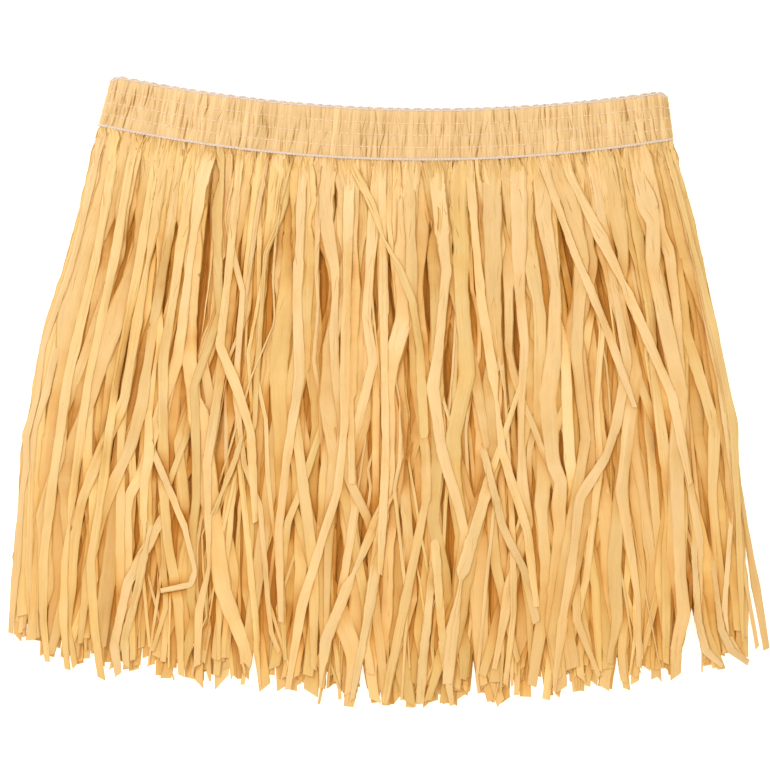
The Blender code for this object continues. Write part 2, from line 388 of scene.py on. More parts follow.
class Tree:
    """Short names for building a node tree."""

    def __init__(self, tree):
        self.tree = tree

    def node(self, kind, feed=None, **values):
        """A new node with these settings, and with these values or links in its inputs."""
        made = self.tree.nodes.new(kind)
        for name, value in values.items():
            setattr(made, name, value)
        self.feed(made, feed or {})
        return made

    def feed(self, node, inputs):
        for key, value in inputs.items():
            self._feed_one(node.inputs[key], value)

    def link(self, source, target):
        self.tree.links.new(source, target)

    def math(self, operation, *operands):
        made = self.node("ShaderNodeMath", operation=operation)
        self._feed(made, operands)
        return made.outputs[0]

    def plus(self, *operands):
        return self.math("ADD", *operands)

    def minus(self, *operands):
        return self.math("SUBTRACT", *operands)

    def times(self, *operands):
        return self.math("MULTIPLY", *operands)

    def larger(self, *operands):
        return self.math("MAXIMUM", *operands)

    def smaller(self, *operands):
        return self.math("MINIMUM", *operands)

    def vector(self, operation, *operands, scale=None):
        made = self.node("ShaderNodeVectorMath", operation=operation)
        self._feed(made, operands)
        if scale is not None:
            self._feed_one(made.inputs["Scale"], scale)
        return made.outputs[0]

    def _feed(self, made, operands):
        for socket, value in zip(made.inputs, operands):
            self._feed_one(socket, value)

    def _feed_one(self, socket, value):
        if isinstance(value, bpy.types.NodeSocket):
            self.link(value, socket)
        else:
            socket.default_value = value


def new_material(name):
    """A material, its tree and its main shader."""
    material = bpy.data.materials.new(name)
    material.use_nodes = True
    return material, Tree(material.node_tree), material.node_tree.nodes["Principled BSDF"]


def new_group(name, kind, inputs, outputs):
    """A node group with these sockets, each (name, type) or (name, type, default), and its tree."""
    group = bpy.data.node_groups.new(name, kind)
    for in_out, sockets in (("INPUT", inputs), ("OUTPUT", outputs)):
        for label, socket_type, *default in sockets:
            socket = group.interface.new_socket(
                label, in_out=in_out, socket_type="NodeSocket" + socket_type
            )
            if default:
                socket.default_value = default[0]
    t = Tree(group)
    return group, t, t.node("NodeGroupInput").outputs, t.node("NodeGroupOutput").inputs


def socket_of(group, name):
    """The identifier of a node group's input."""
    for item in group.interface.items_tree:
        if item.name == name and item.in_out == "INPUT":
            return item.identifier
    raise KeyError(name)


def add_mesh(name, points, edges=(), faces=()):
    """A plain mesh object in the scene."""
    mesh = bpy.data.meshes.new(name)
    mesh.from_pydata([tuple(p) for p in points], list(edges), list(faces))
    obj = bpy.data.objects.new(name, mesh)
    bpy.context.scene.collection.objects.link(obj)
    return obj


def grown(name, guide, group, inputs):
    """The plain mesh that a geometry-node group makes of a guide, which is used up."""
    modifier = guide.modifiers.new("grow", "NODES")
    modifier.node_group = group
    for key, value in inputs.items():
        modifier[socket_of(group, key)] = value
    graph = bpy.context.evaluated_depsgraph_get()
    mesh = bpy.data.meshes.new_from_object(guide.evaluated_get(graph), depsgraph=graph)
    guide.modifiers.remove(modifier)
    old = guide.data
    bpy.data.objects.remove(guide)
    bpy.data.meshes.remove(old)
    mesh.name = name
    obj = bpy.data.objects.new(name, mesh)
    bpy.context.scene.collection.objects.link(obj)
    points = column_of(mesh.vertices, "co", 3)
    points[:, 2] = np.maximum(points[:, 2], LOWEST)
    mesh.vertices.foreach_set("co", points.ravel())
    turn_outwards(mesh)
    return obj


def column_of(items, name, width=1, kind=np.float32):
    """One value of every item of a mesh, as an array."""
    found = np.empty(len(items) * width, kind)
    items.foreach_get(name, found)
    return found.reshape(-1, width) if width > 1 else found


def turn_outwards(mesh):
    """Flips a closed mesh whose faces point inwards."""
    mesh.calc_loop_triangles()
    points = column_of(mesh.vertices, "co", 3).astype(np.float64)
    corners = points[column_of(mesh.loop_triangles, "vertices", 3, np.int32)]
    if np.linalg.det(corners).sum() < 0:
        mesh.flip_normals()


def add_texture_map(mesh, place):
    """Adds a UV map for textures.

    "place" makes it from the vertex and face of each corner, and each face's first corner.
    """
    starts = column_of(mesh.polygons, "loop_start", kind=np.int32)
    counts = column_of(mesh.polygons, "loop_total", kind=np.int32)
    vertices = column_of(mesh.loops, "vertex_index", kind=np.int32)
    u, v = place(vertices, np.repeat(np.arange(len(starts)), counts), starts)
    layer = mesh.uv_layers.new(name="OFBake")
    layer.uv.foreach_set("vector", np.stack([u, v], axis=1).astype(np.float32).ravel())


def put_on(piece, slot, *nodes):
    """Rides a finished piece on the skirt in place of its plain solids."""
    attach(piece, BODY)
    if nodes:
        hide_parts(*nodes)
    return piece


# ---- paper finish ----


def paper_group():
    """Shader group of crumpled paper raffia: fibres, blotches, creases and painted shade."""
    name = "Paper raffia"
    if name in bpy.data.node_groups:
        return bpy.data.node_groups[name]
    group, t, given, out = new_group(
        name,
        "ShaderNodeTree",
        (
            ("Colour", "Color"),
            ("Tone", "Float", 0.5),
            ("Depth", "Float", 0.0),
            ("Side", "Float", 0.0),
            ("Fibre", "Float", 1.0),
            ("Crumple", "Float", 1.0),
            ("Place", "Vector"),
        ),
        (("Colour", "Color"), ("Roughness", "Float"), ("Height", "Float")),
    )

    def noise(scale_vector, detail, roughness, distortion=0.0):
        spot = t.vector("MULTIPLY", given["Place"], scale_vector)
        made = t.node(
            "ShaderNodeTexNoise",
            feed={
                "Vector": spot,
                "Scale": 1.0,
                "Detail": detail,
                "Roughness": roughness,
                "Distortion": distortion,
            },
        )
        return made.outputs["Fac"]

    fibre = noise((1100.0, 30.0, 13.0), 2.0, 0.5)
    blotch = noise((95.0, 30.0, 7.0), 3.0, 0.55)
    crumple = noise((300.0, 55.0, 5.0), 3.0, 0.55, 0.7)
    apart = t.node("ShaderNodeSeparateXYZ", feed={0: given["Place"]})
    near_band = t.larger(t.minus(1.0, t.math("DIVIDE", apart.outputs[1], 0.16)), 0.0)
    # The paper is crumpled into small flat facets, each tilted its own way.
    spot = t.vector("MULTIPLY", given["Place"], (210.0, 62.0, 7.3))
    cells = t.node("ShaderNodeTexVoronoi", feed={"Vector": spot, "Scale": 1.0})
    turn = t.vector("SUBTRACT", cells.outputs["Color"], (0.5, 0.5, 0.5))
    facet = t.node(
        "ShaderNodeVectorMath",
        feed={
            0: t.vector("SUBTRACT", spot, cells.outputs["Position"]),
            1: t.vector("MULTIPLY", turn, (1.0, 1.0, 0.0)),
        },
        operation="DOT_PRODUCT",
    )
    facet = facet.outputs["Value"]
    crumpled = t.times(given["Crumple"], t.plus(t.times(near_band, 0.7), 0.3))
    fibres = t.times(t.minus(fibre, 0.5), t.times(given["Fibre"], 0.15))
    shade = t.plus(fibres, t.times(t.minus(blotch, 0.5), 0.24))
    shade = t.plus(shade, t.times(t.minus(given["Tone"], 0.5), 0.25))
    level = t.plus(1.0, shade)
    # Right below the cord the gathers show as short dark ticks: painted shade of small folds,
    # darkened in the colour and cut into the bump.
    tick = t.math("ABSOLUTE", t.minus(noise((420.0, 22.0, 11.0), 1.0, 0.5), 0.5))
    tick = t.minus(1.0, t.smaller(t.times(tick, 16.0), 1.0))
    tick = t.times(tick, t.larger(t.minus(1.0, t.math("DIVIDE", apart.outputs[1], 0.014)), 0.0))
    folded = t.times(tick, 0.26)
    # Elsewhere the paper is creased in short straight strokes, tapered at both ends, each a groove
    # in the bump and a line of painted shade in the colour.
    shifted = t.node("ShaderNodeCombineXYZ")
    for socket, axis, cells_per_metre, shift in ((0, 0, 225.0, 7.3), (1, 1, 52.0, 3.1)):
        along = t.times(apart.outputs[axis], cells_per_metre)
        t.link(t.plus(along, t.times(apart.outputs[2], shift)), shifted.inputs[socket])
    strokes = t.node(
        "ShaderNodeTexVoronoi",
        feed={"Vector": shifted.outputs[0], "Scale": 1.0},
        voronoi_dimensions="2D",
    )
    local = t.node(
        "ShaderNodeSeparateXYZ",
        feed={0: t.vector("SUBTRACT", shifted.outputs[0], strokes.outputs["Position"])},
    )
    drawn = t.node("ShaderNodeSeparateXYZ", feed={0: strokes.outputs["Color"]})
    slant = t.times(t.minus(drawn.outputs[0], 0.5), 2.4)
    beside = t.math("ABSOLUTE", t.plus(local.outputs[0], t.times(slant, local.outputs[1])))
    taper = t.minus(1.0, t.math("POWER", t.math("ABSOLUTE", t.times(local.outputs[1], 2.3)), 2.0))
    stroke = t.larger(t.minus(taper, t.times(beside, 14.0)), 0.0)
    dark = t.smaller(t.larger(t.times(t.minus(drawn.outputs[1], 0.42), 1.7), 0.0), 1.0)
    amount = t.times(given["Crumple"], t.plus(t.times(near_band, 0.62), 0.10))
    folded = t.larger(folded, t.times(t.times(stroke, dark), amount))
    line = t.minus(1.0, folded)
    # Painted shade: stretches of the cut edges are darkened in the colour, most of all by the band.
    rim = t.times(t.minus(t.math("ABSOLUTE", given["Side"]), 0.84), 8.0)
    rim = t.smaller(t.larger(rim, 0.0), 1.0)
    stretch = t.times(t.minus(noise((350.0, 36.0, 17.0), 1.0, 0.5), 0.42), 7.0)
    stretch = t.smaller(t.larger(stretch, 0.0), 1.0)
    painted_edge_shade = t.plus(0.08, t.times(stretch, t.plus(0.14, t.times(near_band, 0.24))))
    line = t.times(line, t.minus(1.0, t.times(rim, painted_edge_shade)))
    # Darker paper is also browner, and the painted shade of its folds and edges much more so.
    warm = t.node("ShaderNodeCombineXYZ")
    for socket, paper, edge in zip(warm.inputs, (1.0, 1.25, 1.7), (1.0, 1.6, 3.0)):
        t.link(t.times(t.math("POWER", level, paper), t.math("POWER", line, edge)), socket)
    # Painted shade: deep in the pile the colour is made dimmer and much browner, as if its light
    # had come through paper.
    shaded = t.node("ShaderNodeCombineXYZ")
    for socket, loss, onset in zip(shaded.inputs, (0.38, 0.66, 0.92), (2.1, 1.45, 0.95)):
        painted_shade = t.math("POWER", given["Depth"], onset)
        t.link(t.minus(1.0, t.times(painted_shade, loss)), socket)
    # Some strands are pinker, others more golden.
    strand = t.node(
        "ShaderNodeTexWhiteNoise",
        feed={"W": t.math("ROUND", apart.outputs[2])},
        noise_dimensions="1D",
    )
    hue = t.node(
        "ShaderNodeCombineXYZ",
        feed={
            0: 1.0,
            1: t.minus(1.0, t.times(strand.outputs["Value"], 0.012)),
            2: t.plus(0.92, t.times(strand.outputs["Value"], 0.14)),
        },
    )
    # Towards the hem all of them are more golden.
    low = t.larger(t.minus(apart.outputs[1], 0.2), 0.0)
    golden = t.node("ShaderNodeCombineXYZ")
    for socket, loss in zip(golden.inputs, (0.0, 0.4, 1.3)):
        t.link(t.minus(1.0, t.times(low, loss)), socket)
    hued = t.vector("MULTIPLY", hue.outputs[0], golden.outputs[0])
    lit = t.vector("MULTIPLY", t.vector("MULTIPLY", given["Colour"], hued), warm.outputs[0])
    t.link(t.vector("MULTIPLY", lit, shaded.outputs[0]), out["Colour"])
    t.link(t.plus(0.56, t.times(blotch, 0.2)), out["Roughness"])
    height = t.plus(t.times(crumple, t.times(crumpled, 0.6)), t.times(fibre, 0.04))
    height = t.plus(height, t.times(facet, t.times(crumpled, 6.0)))
    height = t.minus(height, t.times(folded, 0.9))
    t.link(height, out["Height"])
    return group


def paper_material(name, colour, crumple=1.0):
    """Paper raffia that reads a piece's "place", "tone", "depth" and "side" attributes."""
    if name in bpy.data.materials:
        return bpy.data.materials[name]
    material, t, shader = new_material(name)
    group = t.node("ShaderNodeGroup", node_tree=paper_group())
    place = t.node("ShaderNodeAttribute", attribute_name="place")
    tone = t.node("ShaderNodeAttribute", attribute_name="tone")
    painted_shade = t.node("ShaderNodeAttribute", attribute_name="painted_shade")
    side = t.node("ShaderNodeAttribute", attribute_name="side")
    t.feed(
        group,
        {
            "Colour": (*colour, 1.0),
            "Crumple": crumple,
            "Place": place.outputs["Vector"],
            "Tone": tone.outputs["Fac"],
            "Depth": painted_shade.outputs["Fac"],
            "Side": side.outputs["Fac"],
        },
    )
    bump = t.node(
        "ShaderNodeBump",
        feed={"Strength": 0.55, "Distance": 0.35 * MM, "Height": group.outputs["Height"]},
    )
    t.feed(
        shader,
        {
            "Base Color": group.outputs["Colour"],
            "Roughness": group.outputs["Roughness"],
            "Normal": bump.outputs["Normal"],
            "Specular IOR Level": 0.28,
            "Sheen Weight": 0.05,
            "Sheen Roughness": 0.5,
        },
    )
    return material


def raffia():
    return paper_material("raffia paper", bpy.context.scene.skirt_colours.raffia)


def raffia_inner():
    return paper_material("raffia paper, inside", bpy.context.scene.skirt_colours.raffia_inner)


def thread_material(name="polyester thread", brighter=(1.0, 1.0, 1.0)):
    """Sewing thread, a little uneven. "brighter" scales its red, green and blue."""
    if name in bpy.data.materials:
        return bpy.data.materials[name]
    material, t, shader = new_material(name)
    spot = t.node("ShaderNodeTexCoord").outputs["Object"]
    noise = t.node("ShaderNodeTexNoise", feed={"Scale": 900.0, "Detail": 2.0, "Vector": spot})
    ramp = t.node("ShaderNodeValToRGB")
    red, green, blue = (
        given * more for given, more in zip(bpy.context.scene.skirt_colours.thread, brighter)
    )
    ramp.color_ramp.elements[0].position = 0.3
    ramp.color_ramp.elements[0].color = (red * 0.86, green * 0.80, blue * 0.80, 1)
    ramp.color_ramp.elements[1].position = 0.65
    ramp.color_ramp.elements[1].color = (red, green, blue, 1)
    t.link(noise.outputs["Fac"], ramp.inputs["Fac"])
    t.link(ramp.outputs["Color"], shader.inputs["Base Color"])
    bump = t.node(
        "ShaderNodeBump",
        feed={"Strength": 0.4, "Distance": 0.1 * MM, "Height": noise.outputs["Fac"]},
    )
    t.feed(shader, {"Normal": bump.outputs["Normal"], "Roughness": 0.5, "Sheen Weight": 0.2})
    return material


# ---- the waistband ----


def band_relief(rng, shares, rows):
    """Heights of a wall, about 0 to 1: soft gathers cut by fine pleats and a few sharp creases."""
    across = shares * 2 * BAND_TOP.half_width
    gather = np.zeros((len(rows), len(shares)))
    for length, amount in ((0.0127, 0.08), (0.0063, 0.12), (0.0031, 0.10)):
        phase = rng.uniform(0, math.tau) + running_mean(rng.normal(0, 40, len(shares)), 60)
        shift = running_mean(rng.normal(0, 1.5, len(rows)), 2)[:, None]
        gather += amount * np.sin(math.tau * across / length + phase + shift)
    relief = 0.76 + gather
    pleats = np.cumsum(rng.uniform(*PLEAT_PITCH, MOST_PLEATS))
    pleats = pleats[pleats < 2 * BAND_TOP.half_width]
    for i in range(len(pleats) + CREASES):
        if i < len(pleats):
            place = pleats[i]
            middle, reach, most = rng.uniform(0, 1), rng.uniform(0.2, 0.9), rng.uniform(0.45, 1.25)
        else:
            place = rng.uniform(0, 2 * BAND_TOP.half_width)
            middle, reach, most = rng.uniform(0, 1), rng.uniform(0.10, 0.35), rng.uniform(0.40, 1.0)
        lean = rng.normal(0, CREASE_LEAN) * (rows - middle)
        kinks = rng.normal(0, CREASE_KINK, len(BAND_ROWS))
        line = place + lean + np.interp(rows, BAND_ROWS, kinks)
        strength = np.clip(1.25 - np.abs(rows - middle) / reach, 0, 1) * most
        strength = strength * np.interp(
            rows,
            BETWEEN_ROWS,
            rng.uniform(0.3, 1.0, len(BETWEEN_ROWS)),
        )
        width = rng.uniform(*CREASE_WIDTH) * MM
        away = (across[None, :] - line[:, None]) / width
        relief -= strength[:, None] * np.exp(-(away**2))
    for place, middle, slant, most in CRUMPLES:
        down = rows[:, None] - middle
        away = (across[None, :] - place * MM - slant * 32 * MM * down) / CRUMPLE_WIDTH
        relief -= most * np.exp(-(away**2)) * np.clip(1.3 - np.abs(down) / 0.16, 0, 1)
    return relief


def row_pinch(rows):
    """Share of the gathers' height that the stitching leaves at each row."""
    pinch = np.ones(len(rows))
    for row in BAND_ROWS[1:4]:
        pinch -= 0.42 * np.exp(-(((rows - row) / 0.045) ** 2))
    pinch -= 0.62 * np.exp(-((rows / 0.05) ** 2))
    pinch -= 0.70 * np.exp(-(((rows - 1) / 0.05) ** 2))
    return pinch


class BandForm:
    """The flattened tube of the waistband, as a grid of points.

    Its columns run round the tube: along the front wall from left to right, round the right
    fold, back along the back wall and round the left fold. Its rows run from the top edge
    (v = 0) to the foot (v = 1).
    """

    WALL_COLUMNS = 1140
    FOLD_COLUMNS = 20

    def __init__(self, gather_height):
        self.gather_height = gather_height
        self.radius = BAND_HEIGHT_Z / 2
        self.rows = np.sort(np.concatenate([np.linspace(0, 1, 17), [0.02, 0.98]]))
        rng = np.random.default_rng(BAND_SEED)
        shares = (np.arange(self.WALL_COLUMNS) + 0.5) / self.WALL_COLUMNS
        front = band_relief(rng, shares, self.rows)
        back = band_relief(rng, shares, self.rows)
        fold = np.full((len(self.rows), self.FOLD_COLUMNS), 0.5)
        self.shares = shares
        self.relief = np.concatenate([front, fold, back[:, ::-1], fold], axis=1)

    def section(self):
        """(x share, z, normal x, normal z, x of the fold, back share) of every column."""
        angle = (np.arange(self.FOLD_COLUMNS) + 0.5) / self.FOLD_COLUMNS * np.pi
        wall = 2 * self.shares - 1
        ones, zeros = np.ones_like(wall), np.zeros_like(wall)
        r = self.radius
        parts = (
            (wall, r * ones, zeros, ones, zeros, zeros),
            (
                np.ones_like(angle), r * np.cos(angle), np.sin(angle), np.cos(angle),
                r * np.sin(angle), angle / np.pi,
            ),
            (wall[::-1], -r * ones, zeros, -ones, zeros, ones),
            (
                -np.ones_like(angle), -r * np.cos(angle), -np.sin(angle), -np.cos(angle),
                -r * np.sin(angle), 1 - angle / np.pi,
            ),
        )
        return [np.concatenate(column) for column in zip(*parts)]

    def gather_lumps(self, x_share):
        """Scalloped lumps of the top edge, 0 to 1."""
        phase = (x_share + 1) / 2 * GATHERS
        wobble = 0.25 * np.sin(phase * 1.7) + 0.2 * np.sin(phase * 0.61 + 1)
        return np.abs(np.sin(np.pi * (phase + wobble * 0.5))) ** 0.7

    def points(self, inner=False):
        """Grid of points, rows by columns, of the outer or the inner face."""
        x_share, z, nx, nz, bulge_x, back = self.section()
        grid = np.zeros((len(self.rows), len(x_share), 3))
        pinch = row_pinch(self.rows)
        fold = self.radius / BAND_TOP.half_width
        for i, v in enumerate(self.rows):
            u = x_share * (1 - fold) + bulge_x / BAND_TOP.half_width
            top, foot = edge_point(BAND_TOP, u), edge_point(BAND_FOOT, u)
            out = self.relief[i] * pinch[i] * self.gather_height
            on_back = back > 0.5
            pressed = -0.55 * self.gather_height * pinch[i] * np.clip(1 - self.relief[i], 0, 1)
            cord_bed = -1.0 * MM * np.exp(-(((v - 1) / 0.035) ** 2)) * back
            out = np.where(on_back, pressed, out) + cord_bed
            if inner:
                out = out * 0.8 - BAND_WALL
            lump = self.gather_lumps(u) * (1 - v / 0.06) if v < 0.06 else 0.0
            grid[i, :, 0] = mix(top[0], foot[0], v) + nx * out
            grid[i, :, 1] = mix(top[1] - corner_drop(u), foot[1], v) + SCALLOP * lump
            grid[i, :, 2] = self.radius + z + nz * out
        return grid

    def rail(self, v, out, pitch):
        """Points round the tube at v, "out" of its wall, and the way that the wall faces."""
        grid = self.points()
        at = np.interp(v, self.rows, np.arange(len(self.rows)))
        low = min(int(at), len(self.rows) - 2)
        line = mix(grid[low], grid[low + 1], at - low)
        _, _, nx, nz, _, _ = self.section()
        facing = np.stack([nx, np.zeros_like(nx), nz], axis=1)
        reach = max(1, int(pitch / (2 * BAND_TOP.half_width / self.WALL_COLUMNS)))
        smooth_closed(line, reach)
        return line + facing * out, facing


def smooth_closed(line, reach):
    """Evens out Y and Z along a closed line, over "reach" points to each side."""
    kernel = np.ones(2 * reach + 1) / (2 * reach + 1)
    for axis in (1, 2):
        padded = np.concatenate([line[-reach:, axis], line[:, axis], line[:reach, axis]])
        line[:, axis] = np.convolve(padded, kernel, mode="valid")


def grid_faces(rows, columns, offset, flip):
    """Quads of a grid whose columns close into a ring."""
    i, j = np.meshgrid(np.arange(rows - 1), np.arange(columns), indexing="ij")
    k = (j + 1) % columns
    quads = np.stack(
        [i * columns + j, i * columns + k, (i + 1) * columns + k, (i + 1) * columns + j],
        axis=-1,
    )
    quads = quads.reshape(-1, 4) + offset
    return quads[:, ::-1] if flip else quads


def build_waistband(form):
    """One closed shell: the tube's outer face, its inner face and the two rims."""
    outer, inner = form.points(), form.points(inner=True)
    rows, columns = outer.shape[:2]
    count = rows * columns
    points = np.concatenate([outer.reshape(-1, 3), inner.reshape(-1, 3)])
    faces = [grid_faces(rows, columns, 0, False), grid_faces(rows, columns, count, True)]
    j = np.arange(columns)
    k = (j + 1) % columns
    top = np.stack([j, j + count, k + count, k], axis=1)
    last = (rows - 1) * columns
    foot = np.stack([last + j, last + k, last + k + count, last + j + count], axis=1)
    faces += [top, foot]
    piece = add_mesh("waistband", points, faces=np.concatenate(faces).tolist())
    mesh = piece.data
    around = np.linspace(0, 2 * (BAND_TOP.half_width + BAND_FOOT.half_width), columns)
    place = np.zeros((2, rows, columns, 3))
    place[..., 0] = around
    place[..., 1] = 0.04 + (form.rows * 0.032)[None, :, None]
    place[..., 2] = 3.0
    tone = np.zeros((2, rows, columns))
    cell_tone = np.random.default_rng(TONE_SEED).normal(0.33, 0.16, TONE_CELLS)
    # Painted shade: the pleats' valleys are darker through the tone and a little browner through
    # the shade.
    valley = np.clip(0.64 - form.relief, 0, 1) * smooth_step(form.rows / 0.1)[:, None]
    cell = (np.arange(columns) / columns * (TONE_CELLS - 1)).astype(int)
    tone[:] = cell_tone[cell] - 1.3 * valley
    mesh.attributes.new("place", "FLOAT_VECTOR", "POINT").data.foreach_set("vector", place.ravel())
    mesh.attributes.new("tone", "FLOAT", "POINT").data.foreach_set("value", tone.ravel())
    # Painted shade on the inner face, less of it by the top edge.
    inside = 0.8 * smooth_step(form.rows / 0.2)[:, None] * np.ones_like(valley)
    painted_shade = np.stack([0.4 * valley, inside])
    mesh.attributes.new("painted_shade", "FLOAT", "POINT").data.foreach_set("value", painted_shade.ravel())
    mesh.polygons.foreach_set("use_smooth", np.ones(len(mesh.polygons), bool))

    def as_strips(vertices, faces, starts):
        """The band cut into short strips, one above the other, the inner face beside the outer."""
        inner, spot = vertices // count, vertices % count
        row, column = spot // columns, spot % columns
        low = np.minimum.reduceat(column, starts)
        closes = np.maximum.reduceat(column, starts) - low > columns / 2
        low = np.where(closes, columns - 1, low)
        column = np.where(closes[faces] & (column == 0), columns, column)
        each = columns / TEXTURE_STRIPS
        strip = low[faces] // each
        share = row / (rows - 1)
        v = np.where(inner == 1, 0.95 - 0.20 * share, 0.05 + 0.66 * share)
        on_top_rim = np.maximum.reduceat(row, starts)[faces] == 0
        v = np.where(on_top_rim & (inner == 1), 0.0, v)
        return 0.995 - 0.99 * (column - strip * each) / (each + 1), (strip + v) / TEXTURE_STRIPS

    add_texture_map(mesh, as_strips)
    turn_outwards(mesh)
    mesh.materials.append(raffia())
    return piece


# ---- sewing ----


def thread_rail(name, lines, facings):
    """The closed lines that a thread runs along, with the way that the cloth under it faces."""
    count = len(lines[0])
    edges = [
        (
            k * count + i,
            k * count + (i + 1) % count,
        ) for k in range(len(lines)) for i in range(count)
    ]
    rail = add_mesh(name, np.concatenate(lines), edges=edges)
    facing = rail.data.attributes.new("facing", "FLOAT_VECTOR", "POINT")
    facing.data.foreach_set("vector", np.concatenate(facings).ravel())
    return rail


def stitch_group():
    """Geometry nodes that lay a stitch every so often along a rail, facing out of the cloth."""
    name = "Stitches along a rail"
    if name in bpy.data.node_groups:
        return bpy.data.node_groups[name]
    group, t, given, out = new_group(
        name,
        "GeometryNodeTree",
        (
            ("Geometry", "Geometry"),
            ("Pitch", "Float", 0.003),
            ("Length", "Float", 0.002),
            ("Radius", "Float", 0.0003),
            ("Flatness", "Float", 0.8),
            ("Slant", "Float", 0.0),
            ("Sides", "Int", 6),
            ("Core", "Float", 0.0),
            ("Material", "Material"),
        ),
        (("Geometry", "Geometry"),),
    )
    curve = t.node("GeometryNodeMeshToCurve", feed={0: given["Geometry"]})
    points = t.node(
        "GeometryNodeCurveToPoints",
        feed={"Curve": curve.outputs[0], "Length": given["Pitch"]},
        mode="LENGTH",
    )
    # A stitch is a small ball drawn out along Z.
    ball = t.node(
        "GeometryNodeMeshUVSphere",
        feed={"Segments": given["Sides"], "Rings": 6, "Radius": 1.0},
    )
    size = t.node(
        "ShaderNodeCombineXYZ",
        feed={
            0: t.times(given["Radius"], given["Flatness"]),
            1: given["Radius"],
            2: t.times(given["Length"], 0.5),
        },
    )
    shaped = t.node(
        "GeometryNodeTransform",
        feed={"Geometry": ball.outputs["Mesh"], "Scale": size.outputs[0]},
    )
    facing = t.node(
        "GeometryNodeInputNamedAttribute",
        feed={"Name": "facing"},
        data_type="FLOAT_VECTOR",
    )
    along = t.node(
        "FunctionNodeAlignRotationToVector",
        feed={"Vector": points.outputs["Tangent"]},
        axis="Z",
    )
    turned = t.node(
        "FunctionNodeAlignRotationToVector",
        feed={"Rotation": along.outputs[0], "Vector": facing.outputs["Attribute"]},
        axis="X",
        pivot_axis="Z",
    )
    slanted = t.node(
        "FunctionNodeRotateRotation",
        feed={"Rotation": turned.outputs[0]},
        rotation_space="LOCAL",
    )
    tilt = t.node("ShaderNodeCombineXYZ", feed={0: given["Slant"]})
    t.link(tilt.outputs[0], slanted.inputs["Rotate By"])
    laid = t.node(
        "GeometryNodeInstanceOnPoints",
        feed={
            "Points": points.outputs["Points"],
            "Instance": shaped.outputs[0],
            "Rotation": slanted.outputs[0],
        },
    )
    # The core is a plain round thread under the stitches.
    ring = t.node(
        "GeometryNodeCurvePrimitiveCircle",
        feed={"Resolution": 6, "Radius": given["Core"]},
    )
    even = t.node(
        "GeometryNodeResampleCurve",
        feed={"Curve": curve.outputs[0], "Length": t.times(given["Pitch"], 0.7)},
        mode="LENGTH",
    )
    tube = t.node(
        "GeometryNodeCurveToMesh",
        feed={"Curve": even.outputs[0], "Profile Curve": ring.outputs[0]},
    )
    has_core = t.node(
        "FunctionNodeCompare",
        feed={0: given["Core"], 1: 1e-6},
        operation="GREATER_THAN",
    )
    chosen = t.node(
        "GeometryNodeSwitch",
        feed={"Switch": has_core.outputs[0], "True": tube.outputs[0]},
        input_type="GEOMETRY",
    )
    joined = t.node("GeometryNodeJoinGeometry", feed={0: laid.outputs[0]})
    t.link(chosen.outputs[0], joined.inputs[0])
    real = t.node("GeometryNodeRealizeInstances", feed={0: joined.outputs[0]})
    smooth = t.node("GeometryNodeSetShadeSmooth", feed={0: real.outputs[0]})
    coloured = t.node(
        "GeometryNodeSetMaterial",
        feed={0: smooth.outputs[0], "Material": given["Material"]},
    )
    t.link(coloured.outputs[0], out[0])
    return group


def build_foot_cord(form, sizes):
    """The thick chain-stitched cord along the band's foot, all round."""
    points, facing = form.rail(1.0, 0.0, 3 * MM)
    bed = np.where(facing[:, 2:3] < 0, 0.15 * MM, 0.35 * MM)
    points = points + facing * bed
    points[:, 2] = np.maximum(points[:, 2], 0.9 * MM)
    rail = thread_rail("cord rail", [points], [facing])
    return grown(
        "thread_foot_cord",
        rail,
        stitch_group(),
        {
            "Pitch": sizes.cord_link,
            "Length": sizes.cord_link * 1.45,
            "Radius": 0.98 * MM,
            "Flatness": 0.75,
            "Slant": 0.28,
            "Sides": 8,
            "Core": 0.55 * MM,
            "Material": thread_material(),
        },
    )


def build_shirring(form, sizes):
    """Three rows of fine stitches that hold the gathers, all round."""
    rails, faces = [], []
    for row in BAND_ROWS[1:4]:
        points, facing = form.rail(row, 0.0, 0.9 * MM)
        sunk = running_mean(
            np.random.default_rng(int(100 * row)).normal(0, 0.55 * MM, len(points)),
            5,
        )[:, None]
        out = np.where(facing[:, 2:3] < 0, -0.05 * MM, 0.14 * MM + sunk)
        points = points + facing * out
        points[:, 2] = np.maximum(points[:, 2], 0.43 * MM)
        rails.append(points)
        faces.append(facing)
    rail = thread_rail("shirring rail", rails, faces)
    return grown(
        "thread_shirring",
        rail,
        stitch_group(),
        {
            "Pitch": sizes.shirring_pitch,
            "Length": sizes.shirring_stitch,
            "Radius": 0.38 * MM,
            "Flatness": 0.8,
            "Sides": 6,
            "Material": thread_material("fine thread", (1.22, 1.13, 0.92)),
        },
    )


